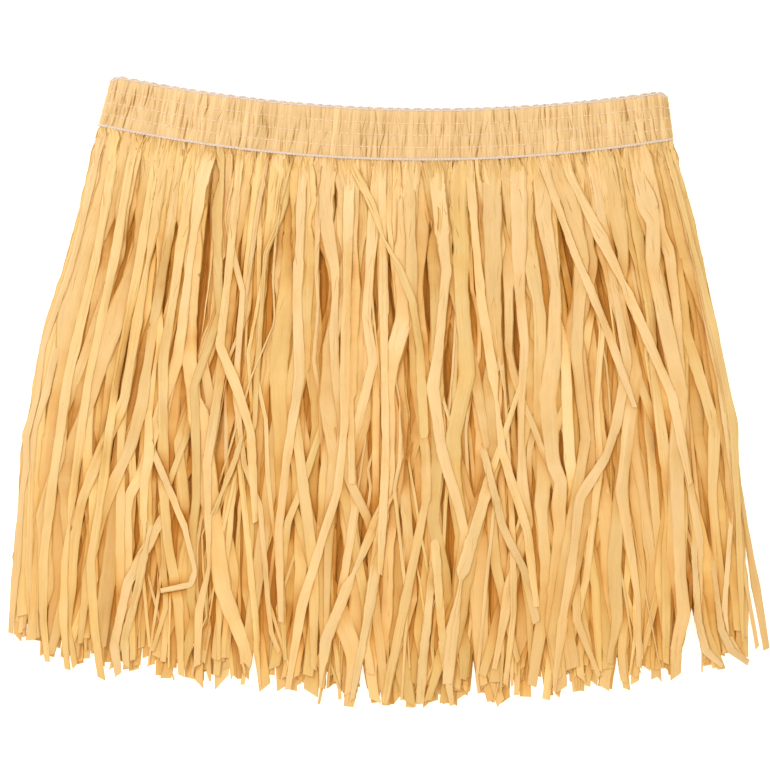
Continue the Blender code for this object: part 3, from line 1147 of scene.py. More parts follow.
def build_top_thread(form, _sizes):
    """The threads that run below and over the lumps of the top edge, all round."""
    grid = form.points()
    _, _, nx, nz, _, _ = form.section()
    low = grid[3]
    u = (low[:, 0] - BAND_TOP.centre_x) / BAND_TOP.half_width
    lumps = form.gather_lumps(u)
    facing = np.stack([nx, np.full_like(nx, 0.6), nz], axis=1)
    facing /= np.linalg.norm(facing, axis=1)[:, None]
    top = edge_point(BAND_TOP, u)[1] - corner_drop(u)
    rails = []
    for rise, above in ((-0.6, 0.45), (1.15, 0.05)):
        points = low.copy()
        points[:, 1] = top + (0.45 + rise * lumps) * MM
        out = np.where(nz < -0.5, -0.45, above) * MM
        points[:, 2] = form.radius + nz * (form.radius + out) + 0.25 * MM * lumps * (nz > 0)
        points[:, 0] -= nx * 1.0 * MM
        smooth_closed(points, 3)
        points[:, 2] = np.maximum(points[:, 2], 0.75 * MM)
        rails.append(points)
    rail = thread_rail("top rail", rails, [facing, facing])
    return grown(
        "thread_top_edge",
        rail,
        stitch_group(),
        {
            "Pitch": 1.9 * MM,
            "Length": 2.4 * MM,
            "Radius": 0.62 * MM,
            "Flatness": 0.8,
            "Slant": 0.3,
            "Sides": 6,
            "Core": 0.4 * MM,
            "Material": thread_material("edge thread", (1.0, 1.05, 1.12)),
        },
    )


# ---- where the strands run ----

# A strand's section is a strip folded along lengthwise creases. From its left edge to its
# right one it has five lines: "side_1" to "side_3" say where the inner three lie (-1 to 1)
# and "height_0" to "height_4" how far each line stands up.
SIDES = ("side_1", "side_2", "side_3")
HEIGHTS = tuple(f"height_{i}" for i in range(5))
SECTION_STYLES = (
    (0.0, 0.1, 0.0, 0.1, 0.0),
    (0.0, 0.3, 0.1, 0.2, 0.0),
    (0.0, 0.4, 0.9, 0.4, 0.0),
    (0.0, 0.9, 0.5, 0.1, 0.0),
    (0.0, 0.1, 0.5, 0.9, 0.1),
    (0.5, 0.1, 0.0, 0.1, 0.6),
    (0.1, 0.8, 0.1, 0.7, 0.0),
)

Strand = namedtuple("Strand", "path half_width root_z bends tip_cut section tone")


def drift_waves(rng, waves=6):
    """Slow sideways waves that a whole layer shares, so that its strands lie in locks."""
    across = math.tau / rng.uniform(0.030, 0.085, waves)
    down = math.tau / rng.uniform(0.20, 0.55, waves) * rng.choice((-1, 1), waves)
    return across, down, rng.uniform(0, math.tau, waves), rng.uniform(0.5, 1.0, waves)


def drift(waves, x, y):
    """How far the waves push a place sideways."""
    total = 0.0
    for across, down, phase, amount in zip(*waves):
        total = total + amount * np.sin(across * x + down * y + phase)
    return total / math.sqrt(len(waves[0]))


def bend_places(rng, count):
    """Shares of a strand's length at which it is bent and creased across."""
    steps = rng.lognormal(0, 0.55, count + 1)
    return np.concatenate([[0.0], 0.03 + 0.97 * np.cumsum(steps) / steps.sum()])


def parted(rng, x, y, half_width, share):
    """Bends a strand, in straight runs, clear of the partings that it passes."""
    for parting in PARTINGS * 2:
        line = np.array([parting.top, parting.middle, parting.low]) * MM
        down = (line[0, 1] - y) / (line[0, 1] - line[2, 1])
        beside = (down > 0) & (down < 1)
        if not beside.any():
            continue
        apart = x - np.interp(-y, -line[:, 1], line[:, 0])
        side = 1.0 if apart[beside][: max(1, beside.sum() // 2)].mean() >= 0 else -1.0
        opening = 1 - np.abs(2 * np.clip(down, 0, 1) - 1) ** 1.5
        wanted = parting.half_width * MM * share * opening + half_width * 0.9
        missing = np.where(beside, wanted - side * apart, -1.0)
        worst = int(np.argmax(missing))
        if missing[worst] <= 0:
            continue
        room = missing[worst] / STEEPEST
        above = max(line[0, 1] + rng.uniform(0.005, 0.03), y[worst] + room)
        below = min(line[2, 1] - rng.uniform(0.005, 0.03), y[worst] - room)
        x = x + side * missing[worst] * np.interp(-y, (-above, -y[worst], -below), (0, 1, 0))
    return x


def notched(x, y, half_width):
    """Bends a strand's end aside where the hem opens."""
    for notch in NOTCHES:
        top = notch.top * MM
        apart = x - notch.x * MM
        side = 1.0 if np.interp(-top, -y, apart) >= 0 else -1.0
        wanted = half_width * 0.9 * smooth_step((top + 0.02 - y) / 0.02)
        wanted = wanted + notch.half_width * MM * np.clip((top - y) / 0.02, 0, 1.4)
        x = x + side * np.where(y < top + 0.02, np.maximum(wanted - side * apart, 0), 0)
    return x


def layer_strands(layer, scale):
    """Plans every strand of a layer: plan path, widths and creases, in the order they lie."""
    rng = np.random.default_rng(layer.seed)
    waves = drift_waves(rng)
    strands = []
    for i in rng.permutation(layer.strands):
        stray = 0.42 if layer.parting else 0.25
        share = (i + 0.5 + rng.uniform(-stray, stray)) / layer.strands
        root_u = np.clip(2 * share - 1, -0.985, 0.985) * layer.reach
        from_side = 1 - root_u**6
        width = float(np.clip(rng.normal(layer.width, layer.spread), *STRAND_WIDTHS))
        if rng.random() < layer.slivers:
            width = rng.uniform(*SLIVER_WIDTHS)
        lean = rng.normal(0, layer.lean) * MM * from_side
        lean = np.clip(lean, -HEM.half_width * (1 + root_u), HEM.half_width * (1 - root_u))
        t = np.linspace(0, 1, PATH_POINTS)
        root_x, root_y = edge_point(BAND_FOOT, root_u)
        tip_x, tip_y = edge_point(HEM, root_u + lean / HEM.half_width)
        tip_y = tip_y + (np.clip(rng.normal(), -1.5, 1.5) * layer.uneven + layer.short) * MM
        tip_y = tip_y + np.interp(tip_x, *HEM_RISE)
        tip_y = max(tip_y, LOWEST_TIP + rng.uniform(-0.001, 0.001))
        y = mix(root_y - SEAM_GAP, tip_y, t)
        # Strands fan out near the band, and stray from that mostly in their lower half.
        x = mix(root_x, tip_x - lean, flare(root_u, t)) + lean * t**1.5
        x = x + smooth_step(t / 0.35) * layer.sway * MM * drift(waves, x, y) * from_side
        bends = bend_places(rng, rng.integers(4, 9))
        aside = rng.normal(0, layer.kink * MM, len(bends)) * np.minimum(
            bends / 0.14,
            0.7 + 0.5 * bends,
        )
        for k in range(1, len(bends)):
            most = (bends[k] - bends[k - 1]) * (root_y - tip_y) * MOST_SLANT
            aside[k] = np.clip(aside[k], aside[k - 1] - most, aside[k - 1] + most)
        x = x + np.interp(t, bends, aside) * (0.35 + 0.65 * from_side)
        # Straight from bend to bend.
        x = np.interp(t, bends, np.interp(bends, t, x))
        half = np.full_like(t, width * MM / 2 * scale)
        half = half * np.interp(t, (0, 0.02, 0.12, 0.26), (0.85, layer.gathered, layer.gathered, 1))
        if layer.parting:
            x = parted(rng, x, y, half, layer.parting)
        x = notched(x, y, half)
        within = rng.uniform(0, 5) * MM + (2.5 * MM if layer.slot == "raffia_inner" else 0.0)
        left, right = (
            mix(edge_point(BAND_FOOT, u)[0], edge_point(HEM, u)[0], flare(u, t)) for u in (-1, 1)
        )
        inset = mix(half - 1.0 * MM, within, smooth_step(t / 0.3))
        x = np.clip(x, left + inset, right - inset)
        root_z = (layer.root_z + rng.uniform(-0.35, 0.35)) * MM
        twists = 0.06 if layer.parting else 0.0
        strand = plan_strand(rng, x, y, half, max(root_z, 0.3 * MM), bends, layer.relief, twists)
        room = np.minimum(x - left, right - x) + (1.0 + 6.0 * smooth_step(t / 0.3)) * MM
        np.minimum(strand.half_width, np.maximum(room, 1.0 * MM), out=strand.half_width)
        strands.append(strand)
    return strands


def lock_strands(scale):
    """Plans the single strands that lie on top of all the layers."""
    rng = np.random.default_rng(LOCK_SEED)
    strands = []
    for lock in LOCKS:
        places = np.array(lock.places, float) * MM
        if lock.from_root:
            places = np.vstack([way_to_band(places[0]), places])
        else:
            back = (places[0] - places[1]) / np.linalg.norm(places[0] - places[1])
            places = np.vstack([places[0] + EMERGE * back, places])
        steps = np.concatenate([[0], np.cumsum(np.linalg.norm(np.diff(places, axis=0), axis=1))])
        even = np.linspace(0, steps[-1], PATH_POINTS)
        x = running_mean(np.interp(even, steps, places[:, 0]), 1)
        y = running_mean(np.interp(even, steps, places[:, 1]), 1)
        half = np.full_like(even, lock.width * MM / 2 * scale)
        bends = np.unique(np.concatenate([steps / steps[-1], bend_places(rng, 3)]))
        root_z = LOCK_ROOT_Z if lock.from_root else None
        strands.append(plan_strand(rng, x, y, half, root_z, bends, 0.26))
    return strands


def way_to_band(place):
    """Points from the band's foot down to a place, along the spread of the skirt."""
    down = np.clip((BAND_FOOT.middle_y - place[1]) / 0.34, 0.01, 1)
    side = np.clip(place[0] / HEM.half_width, -1, 1)
    spread = flare(side, down)
    root_u = np.clip(place[0] / mix(BAND_FOOT.half_width, HEM.half_width, spread), -0.97, 0.97)
    root_x, root_y = edge_point(BAND_FOOT, root_u)
    low_x = mix(root_x, edge_point(HEM, root_u)[0], spread)
    points = []
    for share in (0.0, 0.35, 0.7) if down > 0.12 else (0.0,):
        ahead = mix(root_x, edge_point(HEM, root_u)[0], flare(side, down * share))
        points.append((ahead + (place[0] - low_x) * share, mix(root_y - SEAM_GAP, place[1], share)))
    return np.array(points)


def plan_strand(rng, x, y, half, root_z, bends, relief, twists=0.05):
    """Gives a plan path its uneven width, its lengthwise creases, its cut tip and its tone."""
    t = np.linspace(0, 1, len(x))
    relief = relief * MM * rng.uniform(0.5, 1.4) * min(1.0, float(half.mean()) / (2.6 * MM))
    widths = np.clip(rng.normal(1, 0.08 + twists, len(bends)), 0.5, 1.4)
    widths[1:] = np.where(
        rng.random(len(bends) - 1) < 0.7 * twists,
        rng.uniform(0.25, 0.45),
        widths[1:],
    )
    widths[-1] = min(widths[-1], widths[-2])
    width = np.interp(t, bends, widths)
    knots = np.linspace(0, 1, 54) + rng.uniform(-0.008, 0.008, 54)
    width = width * (
        1 + np.interp(t, knots, rng.normal(0, 0.05, 54)) * (1 + 0.5 * (1 - smooth_step(t / 0.3)))
    )
    x = x + np.interp(t, knots, rng.normal(0, 0.10 * MM, 54))
    half = half * width * (1 - rng.uniform(0.0, 0.45) * smooth_step((t - 0.86) / 0.14))
    style = np.array(SECTION_STYLES[rng.integers(len(SECTION_STYLES))])
    other = np.array(SECTION_STYLES[rng.integers(len(SECTION_STYLES))])
    turn = rng.random(len(bends))[:, None]
    heights = mix(style, other, turn) * 1.6 + rng.normal(0, 0.42, (len(bends), 5))
    heights *= rng.uniform(0.6, 1.3, (len(bends), 1))
    sides = np.array((-0.5, 0.0, 0.5)) + rng.normal(0, 0.12, 3) + rng.normal(
        0,
        0.13,
        (len(bends), 3),
    )
    sides = np.clip(np.sort(sides, axis=1), (-0.82, -0.55, -0.2), (0.2, 0.55, 0.82))
    section = {key: np.interp(t, bends, sides[:, i]) for i, key in enumerate(SIDES)}
    # Near the band the sheet is puckered: short bends and steeper creases.
    pucker = np.concatenate([[0.0], np.cumsum(rng.uniform(0.008, 0.024, 26))])
    waves = np.array((-1, 1, -1, 1, -1)) * rng.choice((-1, 1)) * rng.uniform(
        0.2,
        1.0,
        (len(pucker), 5),
    )
    puckers = (waves + rng.normal(0, 0.4, (len(pucker), 5))) * PUCKER
    calm = 1 - smooth_step(t / rng.uniform(0.10, 0.32)) if root_z is not None else np.zeros_like(t)
    for i, key in enumerate(HEIGHTS):
        section[key] = np.interp(t, bends, heights[:, i]) * relief
        section[key] += np.interp(t, pucker, puckers[:, i]) * calm
    return Strand(
        path=np.stack([x, y], axis=1),
        half_width=half,
        root_z=root_z,
        bends=bends,
        tip_cut=rng.normal(0, 0.48),
        section=section,
        tone=float(np.clip(rng.normal(0.5, 0.2), 0, 1)),
    )


# ---- the pile ----


class Pile:
    """The heap of strands as a height over each small cell of the surface."""

    def __init__(self):
        margin = 0.02
        self.low = np.array([CAD_LOW[0] - margin, CAD_LOW[1] - margin])
        size = np.array([CAD_HIGH[0] - CAD_LOW[0], CAD_HIGH[1] - CAD_LOW[1]]) + 2 * margin
        self.shape = np.ceil(size / HEAP_CELL).astype(int) + 1
        self.height = np.full(self.shape, FLOOR_CLEAR)

    def cells(self, points):
        spots = np.round((points - self.low) / HEAP_CELL).astype(int)
        return np.clip(spots, 0, self.shape - 1)

    def lay(self, strand, steps):
        """Lays a strand on the heap, raises the heap, and gives its guide's values."""
        path = strand.path
        lengths = np.concatenate([[0], np.cumsum(np.linalg.norm(np.diff(path, axis=0), axis=1))])
        length = lengths[-1]
        dense = np.linspace(0, length, max(12, int(length / HEAP_CELL)))
        t = dense / length
        section = {key: np.interp(dense, lengths, column) for key, column in strand.section.items()}
        x = np.interp(dense, lengths, path[:, 0])
        y = np.interp(dense, lengths, path[:, 1])
        half = np.interp(dense, lengths, strand.half_width)
        heading = np.stack(
            [np.gradient(running_mean(x, 2)), np.gradient(running_mean(y, 2))],
            axis=1,
        )
        heading /= np.linalg.norm(heading, axis=1)[:, None]
        across = np.stack([-heading[:, 1], heading[:, 0]], axis=1)
        sides = np.linspace(-1, 1, HEAP_ACROSS)
        reach = half[:, None] * sides
        spots = np.stack([x, y], axis=1)[:, None] + across[:, None] * reach[..., None]
        cells = self.cells(spots)
        felt = self.height[cells[..., 0], cells[..., 1]]
        folds = section_heights(section, sides)
        roll = (felt * sides).sum(axis=1) / (sides**2).sum() / half
        roll = running_mean(np.clip(roll, -MOST_ROLL, MOST_ROLL), 8)
        over = felt - folds - roll[:, None] * reach
        base = mix(over.mean(axis=1), over.max(axis=1), CONTACT) + PAPER / 2
        apart = dense[:, None] - dense[None, :]
        settled = (base[None, :] - DRAPE * apart**2).max(axis=1)
        settled = np.maximum(running_mean(settled, 3), FLOOR_CLEAR + PAPER / 2)
        if strand.root_z is not None:
            settled = mix(strand.root_z, settled, smooth_step(t / ROOT_BLEND))
        else:
            settled = np.maximum(
                settled - BURIED * (1 - smooth_step(dense / EMERGE)),
                FLOOR_CLEAR + PAPER,
            )
        top = settled[:, None] + folds + roll[:, None] * reach + PAPER / 2 + AIR
        np.maximum.at(self.height, (cells[..., 0], cells[..., 1]), top)
        bends = np.interp(strand.bends[1:-1], np.linspace(0, 1, len(lengths)), lengths)
        even = np.linspace(0, 1, steps - len(bends))
        at = np.sort(np.concatenate([length * mix(even**2, even, 0.6), bends]))

        def read(column):
            return np.interp(at, dense, column)

        flat = np.stack([read(across[:, 0]), read(across[:, 1])], axis=1)
        flat /= np.linalg.norm(flat, axis=1)[:, None]
        slope = read(roll)
        scale = 1 / np.sqrt(1 + slope**2)
        values = {key: read(column) for key, column in section.items()}
        values["centre"] = np.stack([read(x), read(y), read(settled)], axis=1)
        values["half_width"] = read(half)
        values["across"] = np.stack([flat[:, 0] * scale, flat[:, 1] * scale, slope * scale], axis=1)
        values["rise"] = np.stack(
            [-flat[:, 0] * slope * scale, -flat[:, 1] * slope * scale, scale],
            axis=1,
        )
        values["forward"] = np.stack([flat[:, 1], -flat[:, 0], np.zeros(steps)], axis=1)
        values["cut"] = strand.tip_cut * smooth_step((at / length - 0.965) / 0.035)
        values["tone"] = np.full(steps, strand.tone)
        values["along"] = at
        return values

    def shade(self, points):
        """How deep each point lies in the shade of the pile, 0 to 1."""
        hidden = np.zeros(len(points))
        for turn in np.arange(8) * math.tau / 8:
            way = np.array([math.cos(turn), math.sin(turn)])
            steepest = np.zeros(len(points))
            for far in (1.3 * MM, 2.6 * MM, 4.2 * MM, 6.5 * MM):
                cells = self.cells(points[:, :2] + way * far)
                steepest = np.maximum(
                    steepest,
                    (self.height[cells[:, 0], cells[:, 1]] - points[:, 2]) / far,
                )
            hidden += steepest**2 / (1 + steepest**2) / 8
        reach = 4
        around = np.apply_along_axis(running_mean, 0, self.height, reach)
        around = np.apply_along_axis(running_mean, 1, around, reach)
        cells = self.cells(points[:, :2])
        sunk = (around[cells[:, 0], cells[:, 1]] - points[:, 2]) / SUNK
        band_y = edge_point(BAND_FOOT, points[:, 0] / BAND_FOOT.half_width)[1]
        open_share = smooth_step((band_y - points[:, 1]) / 0.09)
        sky = hidden * mix(0.5, 1, open_share)
        low = np.clip(sunk, 0, 0.8) * mix(0.2, 1, open_share)
        return np.clip(sky + low, 0, 1)


def section_heights(section, sides):
    """Heights of a folded section at the given sides, a row for each place along it."""
    lines = [np.full_like(section["side_1"], -1.0)] + [section[key] for key in SIDES]
    lines.append(np.full_like(section["side_1"], 1.0))
    heights = np.zeros((len(lines[0]), len(sides)))
    for i in range(4):
        left, right = lines[i][:, None], lines[i + 1][:, None]
        share = np.clip((sides[None] - left) / (right - left), 0, 1)
        here = (sides[None] >= left) & (sides[None] <= right)
        low, high = section[HEIGHTS[i]][:, None], section[HEIGHTS[i + 1]][:, None]
        heights = np.where(here, mix(low, high, share), heights)
    return heights


# ---- strands as meshes ----

SECTION_POINTS = 8
GUIDE_VECTORS = ("across", "rise", "forward", "place")
GUIDE_FLOATS = ("half_width", "cut", "tone", "strand", *SIDES, *HEIGHTS)


def guide_mesh(name, laid, start):
    """The strands' middle lines as loose edges that carry each point's values."""
    edges, first = [], 0
    for i, values in enumerate(laid):
        steps = len(values["along"])
        edges += [(first + k, first + k + 1) for k in range(steps - 1)]
        first += steps
        values["strand"] = np.full(steps, float(i))
        values["place"] = np.stack(
            [np.zeros(steps), values["along"], np.full(steps, float(start + i))],
            axis=1,
        )
    guide = add_mesh(name, np.concatenate([values["centre"] for values in laid]), edges=edges)
    for key in GUIDE_VECTORS + GUIDE_FLOATS:
        vector = key in GUIDE_VECTORS
        column = np.concatenate([values[key] for values in laid])
        attribute = guide.data.attributes.new(key, "FLOAT_VECTOR" if vector else "FLOAT", "POINT")
        attribute.data.foreach_set("vector" if vector else "value", column.ravel())
    return guide


def strip_group():
    """Geometry nodes that sweep a creased strip of paper along guides."""
    name = "Paper strips along guides"
    if name in bpy.data.node_groups:
        return bpy.data.node_groups[name]
    group, t, given, out = new_group(
        name,
        "GeometryNodeTree",
        (
            ("Geometry", "Geometry"),
            ("Thickness", "Float", 0.0003),
            ("Crinkle", "Float", 0.0001),
            ("Floor", "Float", 0.0001),
            ("Material", "Material"),
        ),
        (("Geometry", "Geometry"),),
    )

    def stored(name, kind="FLOAT"):
        made = t.node("GeometryNodeInputNamedAttribute", feed={"Name": name}, data_type=kind)
        return made.outputs["Attribute"]

    def store(geometry, name, value, kind="FLOAT"):
        made = t.node(
            "GeometryNodeStoreNamedAttribute",
            feed={"Geometry": geometry, "Name": name, "Value": value},
            data_type=kind,
            domain="POINT",
        )
        return made.outputs[0]

    def chosen(line, names):
        """The guide's value for this line of the section."""
        made = t.node("GeometryNodeIndexSwitch", data_type="FLOAT")
        while len(made.index_switch_items) < len(names):
            made.index_switch_items.new()
        t.link(line, made.inputs["Index"])
        for socket, name in zip(list(made.inputs)[1:], names):
            if isinstance(name, str):
                t.link(stored(name), socket)
            else:
                socket.default_value = name
        return made.outputs[0]

    # The section has eight points: its five lines over the top, then three underneath.
    ring = t.node("GeometryNodeCurvePrimitiveCircle", feed={"Resolution": SECTION_POINTS})
    profile = store(ring.outputs[0], "column", t.node("GeometryNodeInputIndex").outputs[0])
    curve = t.node("GeometryNodeMeshToCurve", feed={0: given["Geometry"]})
    guides = store(
        curve.outputs[0],
        "centre",
        t.node("GeometryNodeInputPosition").outputs[0],
        "FLOAT_VECTOR",
    )
    swept = t.node(
        "GeometryNodeCurveToMesh",
        feed={"Curve": guides, "Profile Curve": profile, "Fill Caps": True},
    )
    column = stored("column")
    line = t.minus(4.0, t.math("ABSOLUTE", t.minus(column, 4.0)))
    under = t.math("GREATER_THAN", column, 4.5)
    side = chosen(line, (-1.0, *SIDES, 1.0))
    relief = chosen(line, HEIGHTS)
    inner = t.math("LESS_THAN", t.math("ABSOLUTE", t.minus(line, 2.0)), 1.5)
    skin = t.times(t.minus(0.5, under), t.times(inner, given["Thickness"]))
    jitter = t.node("FunctionNodeRandomValue", data_type="FLOAT")
    for socket in jitter.inputs:
        if socket.enabled and socket.name in ("Min", "Max"):
            socket.default_value = -1.0 if socket.name == "Min" else 1.0
    # Points above and below each other on a line share their crinkle.
    ring_index = t.math(
        "FLOOR",
        t.math("DIVIDE", t.node("GeometryNodeInputIndex").outputs[0], float(SECTION_POINTS)),
    )
    t.link(t.plus(t.times(ring_index, float(SECTION_POINTS)), line), jitter.inputs["ID"])
    random = [socket for socket in jitter.outputs if socket.enabled][0]
    relief = t.plus(relief, t.times(random, given["Crinkle"]))
    reach = t.times(side, stored("half_width"))
    spot = stored("centre", "FLOAT_VECTOR")
    cut_back = t.times(reach, stored("cut"))
    for way, amount in (("across", reach), ("rise", t.plus(relief, skin)), ("forward", cut_back)):
        step = t.vector("SCALE", stored(way, "FLOAT_VECTOR"), scale=amount)
        spot = t.vector("ADD", spot, step)
    apart = t.node("ShaderNodeSeparateXYZ", feed={0: spot})
    joined = t.node("ShaderNodeCombineXYZ", feed={0: apart.outputs[0], 1: apart.outputs[1]})
    # Nothing goes below the surface, and undersides stay under their tops.
    level = t.plus(given["Floor"], t.times(t.minus(1.0, under), given["Thickness"]))
    t.link(t.larger(apart.outputs[2], level), joined.inputs[2])
    moved = t.node(
        "GeometryNodeSetPosition",
        feed={"Geometry": swept.outputs[0], "Position": joined.outputs[0]},
    )
    aside = t.node("ShaderNodeCombineXYZ", feed={0: t.plus(reach, t.times(under, 0.03))})
    placed = store(
        moved.outputs[0],
        "place",
        t.vector("ADD", stored("place", "FLOAT_VECTOR"), aside.outputs[0]),
        "FLOAT_VECTOR",
    )
    placed = store(placed, "side", side)
    flat = t.node("GeometryNodeSetShadeSmooth", feed={"Shade Smooth": False, 0: placed})
    real = t.node("GeometryNodeRealizeInstances", feed={0: flat.outputs[0]})
    coloured = t.node(
        "GeometryNodeSetMaterial",
        feed={0: real.outputs[0], "Material": given["Material"]},
    )
    t.link(coloured.outputs[0], out[0])
    return group


def from_sides(points):
    """How far places lie inside the skirt's left or right outline."""
    x, y = points[:, 0], points[:, 1]
    down = np.clip((BAND_FOOT.middle_y - y) / (BAND_FOOT.middle_y - HEM.middle_y), 0, 1)
    return mix(BAND_FOOT.half_width, HEM.half_width, flare(np.sign(x), down)) - np.abs(x)


def above_hem(points):
    return points[:, 1] - edge_point(HEM, points[:, 0] / HEM.half_width)[1]


def enclosed(points):
    """How far places inside the skirt are shut in: 0 at its open hem and sides, up to 1."""
    return smooth_step(from_sides(points) / 0.035) * smooth_step(above_hem(points) / 0.05)


def build_strands(name, laid, material, start, pile, at_back):
    """The finished strands of one layer, with their painted shade and texture map."""
    guide = guide_mesh(name + " guide", laid, start)
    inputs = {"Thickness": PAPER, "Crinkle": CRINKLE, "Floor": FLOOR_CLEAR, "Material": material}
    piece = grown(name, guide, strip_group(), inputs)
    mesh = piece.data
    keep = ("place", "tone", "column", "strand", "side")
    for key in (*GUIDE_VECTORS, *GUIDE_FLOATS, "centre"):
        if key not in keep and key in mesh.attributes:
            mesh.attributes.remove(mesh.attributes[key])
    points = column_of(mesh.vertices, "co", 3).astype(np.float64)
    column = column_of(mesh.attributes["column"].data, "value")
    strand = column_of(mesh.attributes["strand"].data, "value")
    along = column_of(mesh.attributes["place"].data, "vector", 3)[:, 1]

    def as_columns(vertices, faces, starts):
        """Each strand stands upright in its own column, with its top beside its underside."""
        line = column[vertices]
        round_edge = (
            np.minimum.reduceat(line, starts) < 0.5
        ) & (np.maximum.reduceat(line, starts) > 6.5)
        line = np.where(round_edge[faces] & (line < 0.5), 8.0, line)
        across = np.interp(line, (0, 4, 8), (0.03, 0.67, 0.97))
        return 1 - (
            strand[vertices] + across
        ) / len(laid), 0.002 + 0.996 * along[vertices] / along.max()

    add_texture_map(mesh, as_columns)
    # Painted shade from how deep each point lies in the pile: even across each strand, lighter by
    # the outline and the hem, deeper where the back strands are shut in, and a small fixed amount
    # on undersides and on the outermost back layer.
    shade = pile.shade(points).reshape(-1, SECTION_POINTS)
    shade = mix(shade, shade[:, :5].mean(axis=1, keepdims=True), EVEN_SHADE).ravel()
    shade *= mix(0.3, 1.0, smooth_step(from_sides(points) / 0.009))
    shade *= mix(0.4, 1.0, smooth_step(above_hem(points) / 0.04))
    if name.startswith("strands_back"):
        shade = np.maximum(shade, 0.9 * enclosed(points))
    shade = np.where(column > 4.5, UNDERSIDE_SHADE, shade)
    if at_back:
        shade = np.minimum(shade, UNDERSIDE_SHADE)
    mesh.attributes.new("painted_shade", "FLOAT", "POINT").data.foreach_set("value", shade)
    return piece


# ---- stage ----


FLOOR_HALF = 3.0
FLOOR_LEVEL = -0.4 * MM
SKY_COLOUR = (1.0, 0.84, 0.44, 1.0)
SKY_STRENGTH = 0.745
# Round soft lights that face the middle of the skirt: name, place, width and power in watts.
LIGHTS = (("key", (-1.0, 0.75, 1.25), 0.32, 10.6), ("fill", (0.6, 0.1, 1.9), 1.6, 6.2))
CAMERA_ABOVE = 3.2
CAMERA_SENSOR = 36.0  # in millimetres
CAMERA_PLACE = (-0.0026, 0.0049)
SKIRT_MIDDLE = 0.006  # height that the camera's distance is measured from


def build_floor(colour):
    """The plain surface that the skirt lies on."""
    corners = ((-1, -1), (1, -1), (1, 1), (-1, 1))
    points = [(x * FLOOR_HALF, y * FLOOR_HALF, FLOOR_LEVEL) for x, y in corners]
    floor = add_mesh("floor", points, faces=[(0, 1, 2, 3)])
    material, t, shader = new_material("plain floor")
    t.feed(
        shader,
        {
            "Base Color": (*colour, 1.0),
            "Roughness": 0.9,
            "Specular IOR Level": 0.1,
            "Emission Color": (1.0, 1.0, 1.0, 1.0),
            "Emission Strength": 0.65,
        },
    )
    floor.data.materials.append(material)


def add_area_light(name, place, size, power):
    """A round soft light that faces the middle of the skirt."""
    data = bpy.data.lights.new(name, "AREA")
    data.shape = "DISK"
    data.size = size
    data.energy = power
    light = bpy.data.objects.new(name, data)
    bpy.context.scene.collection.objects.link(light)
    light.location = place
    light.rotation_euler = (-Vector(place)).to_track_quat("-Z", "Y").to_euler()


def build_lights():
    """Warm light from all round, and two soft lights."""
    world = bpy.data.worlds.new("studio")
    bpy.context.scene.world = world
    world.use_nodes = True
    background = world.node_tree.nodes["Background"]
    background.inputs["Color"].default_value = SKY_COLOUR
    background.inputs["Strength"].default_value = SKY_STRENGTH
    for light in LIGHTS:
        add_area_light(*light)


def build_camera(picture_width):
    """Looks straight down at the skirt, from far enough for a nearly flat view."""
    data = bpy.data.cameras.new("camera")
    data.sensor_width = CAMERA_SENSOR
    data.lens = CAMERA_SENSOR * CAMERA_ABOVE / picture_width
    camera = bpy.data.objects.new("camera", data)
    bpy.context.scene.collection.objects.link(camera)
    camera.location = (*CAMERA_PLACE, CAMERA_ABOVE + SKIRT_MIDDLE)
    bpy.context.scene.camera = camera


# ---- operators ----


class SKIRT_OT_waistband(bpy.types.Operator):
    """Make the gathered waistband in place of its two plain walls"""

    bl_idname = "skirt.waistband"
    bl_label = "Waistband"

    def execute(self, context):
        form = BandForm(context.scene.skirt_sizes.gather_height)
        band = build_waistband(form)
        put_on(band, "raffia", "band_front", "band_back")
        return {"FINISHED"}


class SKIRT_OT_sewing(bpy.types.Operator):
    """Sew the top edge, the shirring rows and the foot cord"""

    bl_idname = "skirt.sewing"
    bl_label = "Sewing"

    def execute(self, context):
        sizes = context.scene.skirt_sizes
        form = BandForm(sizes.gather_height)
        for build in (build_top_thread, build_shirring, build_foot_cord):
            put_on(build(form, sizes), "thread")
        return {"FINISHED"}


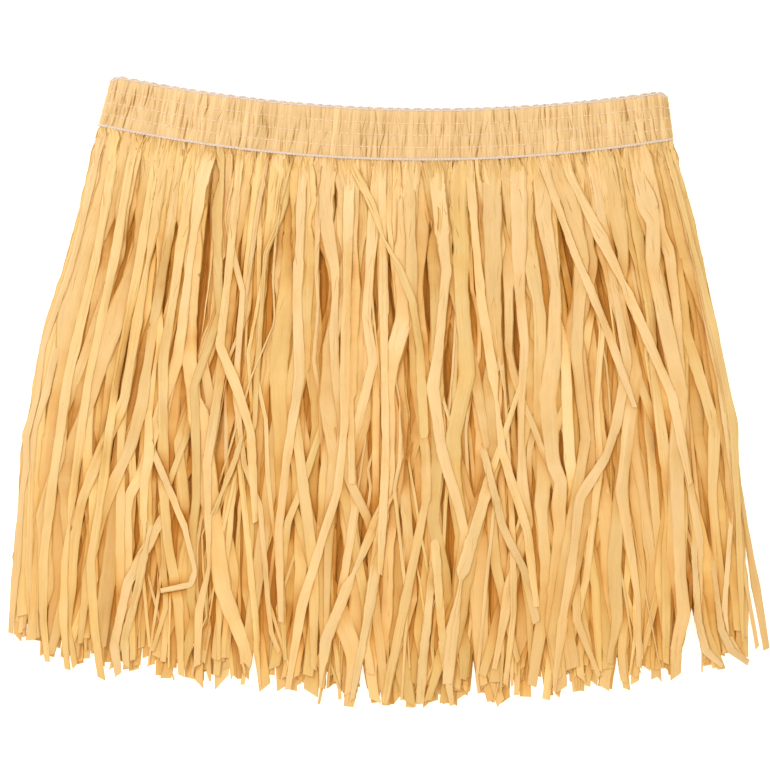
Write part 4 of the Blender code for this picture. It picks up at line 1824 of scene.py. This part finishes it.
class SKIRT_OT_strands(bpy.types.Operator):
    """Lay every layer of paper strands, from the surface up"""

    bl_idname = "skirt.strands"
    bl_label = "Strands"

    def execute(self, context):
        scale = context.scene.skirt_sizes.strand_scale
        pile = Pile()
        jobs = [
            (
                layer.piece,
                layer.node,
                layer.slot,
                layer_strands(layer, scale),
                layer.steps,
            ) for layer in LAYERS
        ]
        jobs.append(("strands_front_top", None, "raffia", lock_strands(scale), 96))
        laid = [[pile.lay(strand, steps) for strand in strands] for _, _, _, strands, steps in jobs]
        start = 0
        for (name, node, slot, strands, _), values in zip(jobs, laid):
            material = raffia_inner() if slot == "raffia_inner" else raffia()
            piece = build_strands(name, values, material, start, pile, node == "fringe_back_outer")
            put_on(piece, slot, *([node] if node else []))
            start += len(strands)
        return {"FINISHED"}


class SKIRT_OT_cloth(bpy.types.Operator):
    bl_idname = "skirt.cloth"
    bl_label = "Cloth"

    def execute(self, context):
        return {"FINISHED"}


class SKIRT_OT_stage(bpy.types.Operator):
    """Set up the floor, the soft light and the camera"""

    bl_idname = "skirt.stage"
    bl_label = "Stage"

    def execute(self, context):
        build_floor(context.scene.skirt_colours.floor)
        build_lights()
        build_camera(context.scene.skirt_sizes.picture_width)
        context.scene.view_settings.view_transform = "Standard"
        context.scene.view_settings.look = "None"
        return {"FINISHED"}


class SKIRT_PT_panel(bpy.types.Panel):
    """Lists the skirt's pieces, sizes and colours"""

    bl_idname = "SKIRT_PT_panel"
    bl_label = "Grass skirt"
    bl_space_type = "VIEW_3D"
    bl_region_type = "UI"
    bl_category = "Skirt"

    def draw(self, context):
        for operator in OPERATORS:
            self.layout.operator(operator.bl_idname)
        for group in (context.scene.skirt_sizes, context.scene.skirt_colours):
            for name in group.__annotations__:
                self.layout.prop(group, name)


OPERATORS = (SKIRT_OT_waistband, SKIRT_OT_sewing, SKIRT_OT_strands, SKIRT_OT_cloth, SKIRT_OT_stage)
CLASSES = (SkirtSizes, SkirtColours, *OPERATORS, SKIRT_PT_panel)


def register():
    for cls in CLASSES:
        bpy.utils.register_class(cls)
    bpy.types.Scene.skirt_sizes = PointerProperty(type=SkirtSizes)
    bpy.types.Scene.skirt_colours = PointerProperty(type=SkirtColours)


def unregister():
    del bpy.types.Scene.skirt_sizes
    del bpy.types.Scene.skirt_colours
    for cls in reversed(CLASSES):
        bpy.utils.unregister_class(cls)


def main():
    register()
    bpy.ops.skirt.waistband()
    bpy.ops.skirt.sewing()
    bpy.ops.skirt.strands()
    bpy.ops.skirt.cloth()
    bpy.ops.skirt.stage()


if __name__ == "__main__":
    main()
